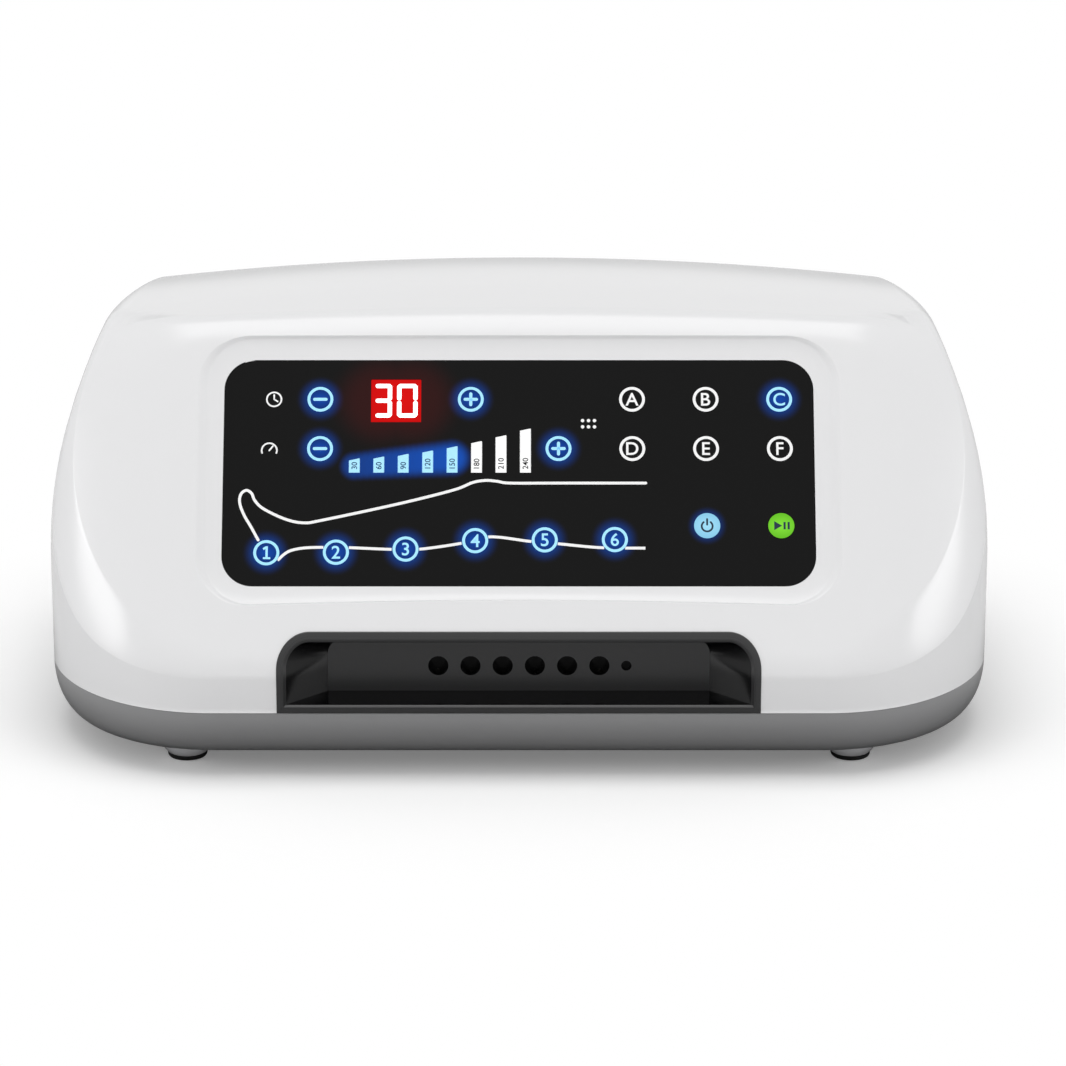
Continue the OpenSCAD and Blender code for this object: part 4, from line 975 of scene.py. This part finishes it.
bright_steel = metal("ground_steel", "#C4C6C9", 0.28, 0.4)
zinc_steel = metal("zinc_plated_steel", "#B9BDC4", 0.35, 0.6)
laminations = moulded_plastic("varnished_steel_laminations", "#3E4044", 0.45, 0.6, 0.08, 0.12)
nylon = moulded_plastic("glass_filled_nylon", "#1E2124", 0.5, 0.7, 0.05, 0.1)
acetal = moulded_plastic("ivory_acetal", "#DAD8CC", 0.38, 1.5, 0.01, 0.02)
tape = moulded_plastic("winding_tape", "#A2452A", 0.5, 0.9, 0.06, 0.12)
silicone = moulded_plastic("silicone_hose", "#D9D6CC", 0.4, 2.0, 0.02, 0.04)
mask = moulded_plastic("green_solder_mask", "#1C5A34", 0.3, 1.2, 0.02, 0.15)
plungers = [f"valve_plunger_{i}" for i in range(1, 7)]
for material, nodes in (
        (bright_steel, ["pump_armature"] + plungers), (zinc_steel, ["case_screws"]),
        (laminations, ["pump_body", "transformer"]), (nylon, ["pump_heads"]),
        (black_rubber, ["pump_mounts"]), (acetal, ["valve_manifold", "pressure_sensor"]),
        (tape, ["valve_coils"]), (silicone, ["port_hoses", "supply_hose"]),
        (mask, ["main_board", "key_board"])):
    for node in nodes:
        dress(node, material)

# ---- Studio --------------------------------------------------------------------------------
# A white sweep with large soft boxes overhead and in front, and a low wide one on each side. The
# floor shows as plain white to the camera and keeps the soft shadow under the tray.
floor_mesh = bpy.data.meshes.new("floor")
floor_mesh.from_pydata([(-9, -9, 0), (9, -9, 0), (9, 9, 0), (-9, 9, 0)], [], [(0, 1, 2, 3)])
floor = placed("floor", floor_mesh)
# Paper: white to the camera, but it throws back little light, so the hull stays dark below. It
# gives way to an even white some way off the pump
paper, paper_shader = blank("white_paper_sweep")
seen = add(paper, "ShaderNodeLightPath").outputs["Is Camera Ray"]
from_pump = add(paper, "ShaderNodeTexCoord").outputs["Object"]
for step, size in (("ABSOLUTE", (0, 0, 0)), ("SUBTRACT", (0.10, 0.03, 0)), ("MAXIMUM", (0, 0, 0))):
    from_pump = add(paper, "ShaderNodeVectorMath", {"operation": step, 1: size},
                    {0: from_pump}).outputs["Vector"]
from_pump = add(paper, "ShaderNodeVectorMath", {"operation": "LENGTH"}, {0: from_pump})
near_paper = add(paper, "ShaderNodeMapRange", {1: 0.085, 2: 0.13, 3: 0.06, 4: 0.8},
                 {"Value": from_pump.outputs["Value"]})
paper_mix = add(paper, "ShaderNodeMix", {"data_type": "RGBA", 7: tone("#F6F6F6")},
                {0: seen, 6: near_paper.outputs[0]})
lift = add(paper, "ShaderNodeMath", {"operation": "MULTIPLY", 1: 0.16}, {0: seen})
feed(paper, paper_shader,
     {"Roughness": 0.9, "Specular IOR Level": 0.0, "Emission Color": (1, 1, 1, 1)},
     {"Base Color": paper_mix.outputs[2], "Emission Strength": lift.outputs[0]})
paper_far = add(paper, "ShaderNodeMapRange", {"interpolation_type": "SMOOTHSTEP", 1: 0.085,
                2: 0.18}, {"Value": from_pump.outputs["Value"]})
paper_far = add(paper, "ShaderNodeMath", {"operation": "MULTIPLY"},
                {0: paper_far.outputs[0], 1: seen})
paper_white = add(paper, "ShaderNodeEmission", {"Strength": 1.0})
paper_both = add(paper, "ShaderNodeMixShader", None, {
    0: paper_far.outputs[0], 1: paper_shader.outputs[0], 2: paper_white.outputs[0]})
feed(paper, paper.node_tree.nodes["Material Output"], None, {"Surface": paper_both.outputs[0]})
floor_mesh.materials.append(paper)

# The room is plain white to the camera and in reflections, and dimmer as a source of light
world = bpy.data.worlds.new("studio")
scene.world = world
world.use_nodes = True
rays = add(world, "ShaderNodeLightPath")
shown = add(world, "ShaderNodeMath", {"operation": "MAXIMUM"},
            {0: rays.outputs["Is Camera Ray"], 1: rays.outputs["Is Transmission Ray"]})
shown = add(world, "ShaderNodeMath", {"operation": "MAXIMUM"},
            {0: shown.outputs[0], 1: rays.outputs["Is Glossy Ray"]})
level = add(world, "ShaderNodeMapRange", {3: 0.46, 4: 1.0}, {"Value": shown.outputs[0]})
feed(world, world.node_tree.nodes["Background"],
     {"Color": (1, 1, 1, 1)}, {"Strength": level.outputs[0]})


def soft_box(name, place, aim, wide, tall, watts, mirrored=True):
    """A rectangular lamp; one that isn't mirrored lights the case but leaves no streak in it."""
    lamp = bpy.data.lights.new(name, "AREA")
    lamp.shape, lamp.size, lamp.size_y, lamp.energy = "RECTANGLE", wide, tall, watts
    holder = placed(name, lamp)
    holder.location = place
    holder.rotation_euler = (Vector(aim) - Vector(place)).to_track_quat("-Z", "Y").to_euler()
    holder.visible_glossy = mirrored


soft_box("soft_box_top", (0, -0.1, 1.5), (0, 0, 0), 1.2, 1.0, 9.0)
soft_box("soft_box_front", (0, -2.1, 0.1), (0, 0, 0.06), 1.4, 0.6, 13, mirrored=False)
soft_box("soft_box_left", (-1.32, -0.26, 0.40), (0, 0, 0.08), 0.7, 0.3, 3.2)
soft_box("soft_box_right", (1.32, -0.26, 0.40), (0, 0, 0.08), 0.7, 0.3, 2.8)
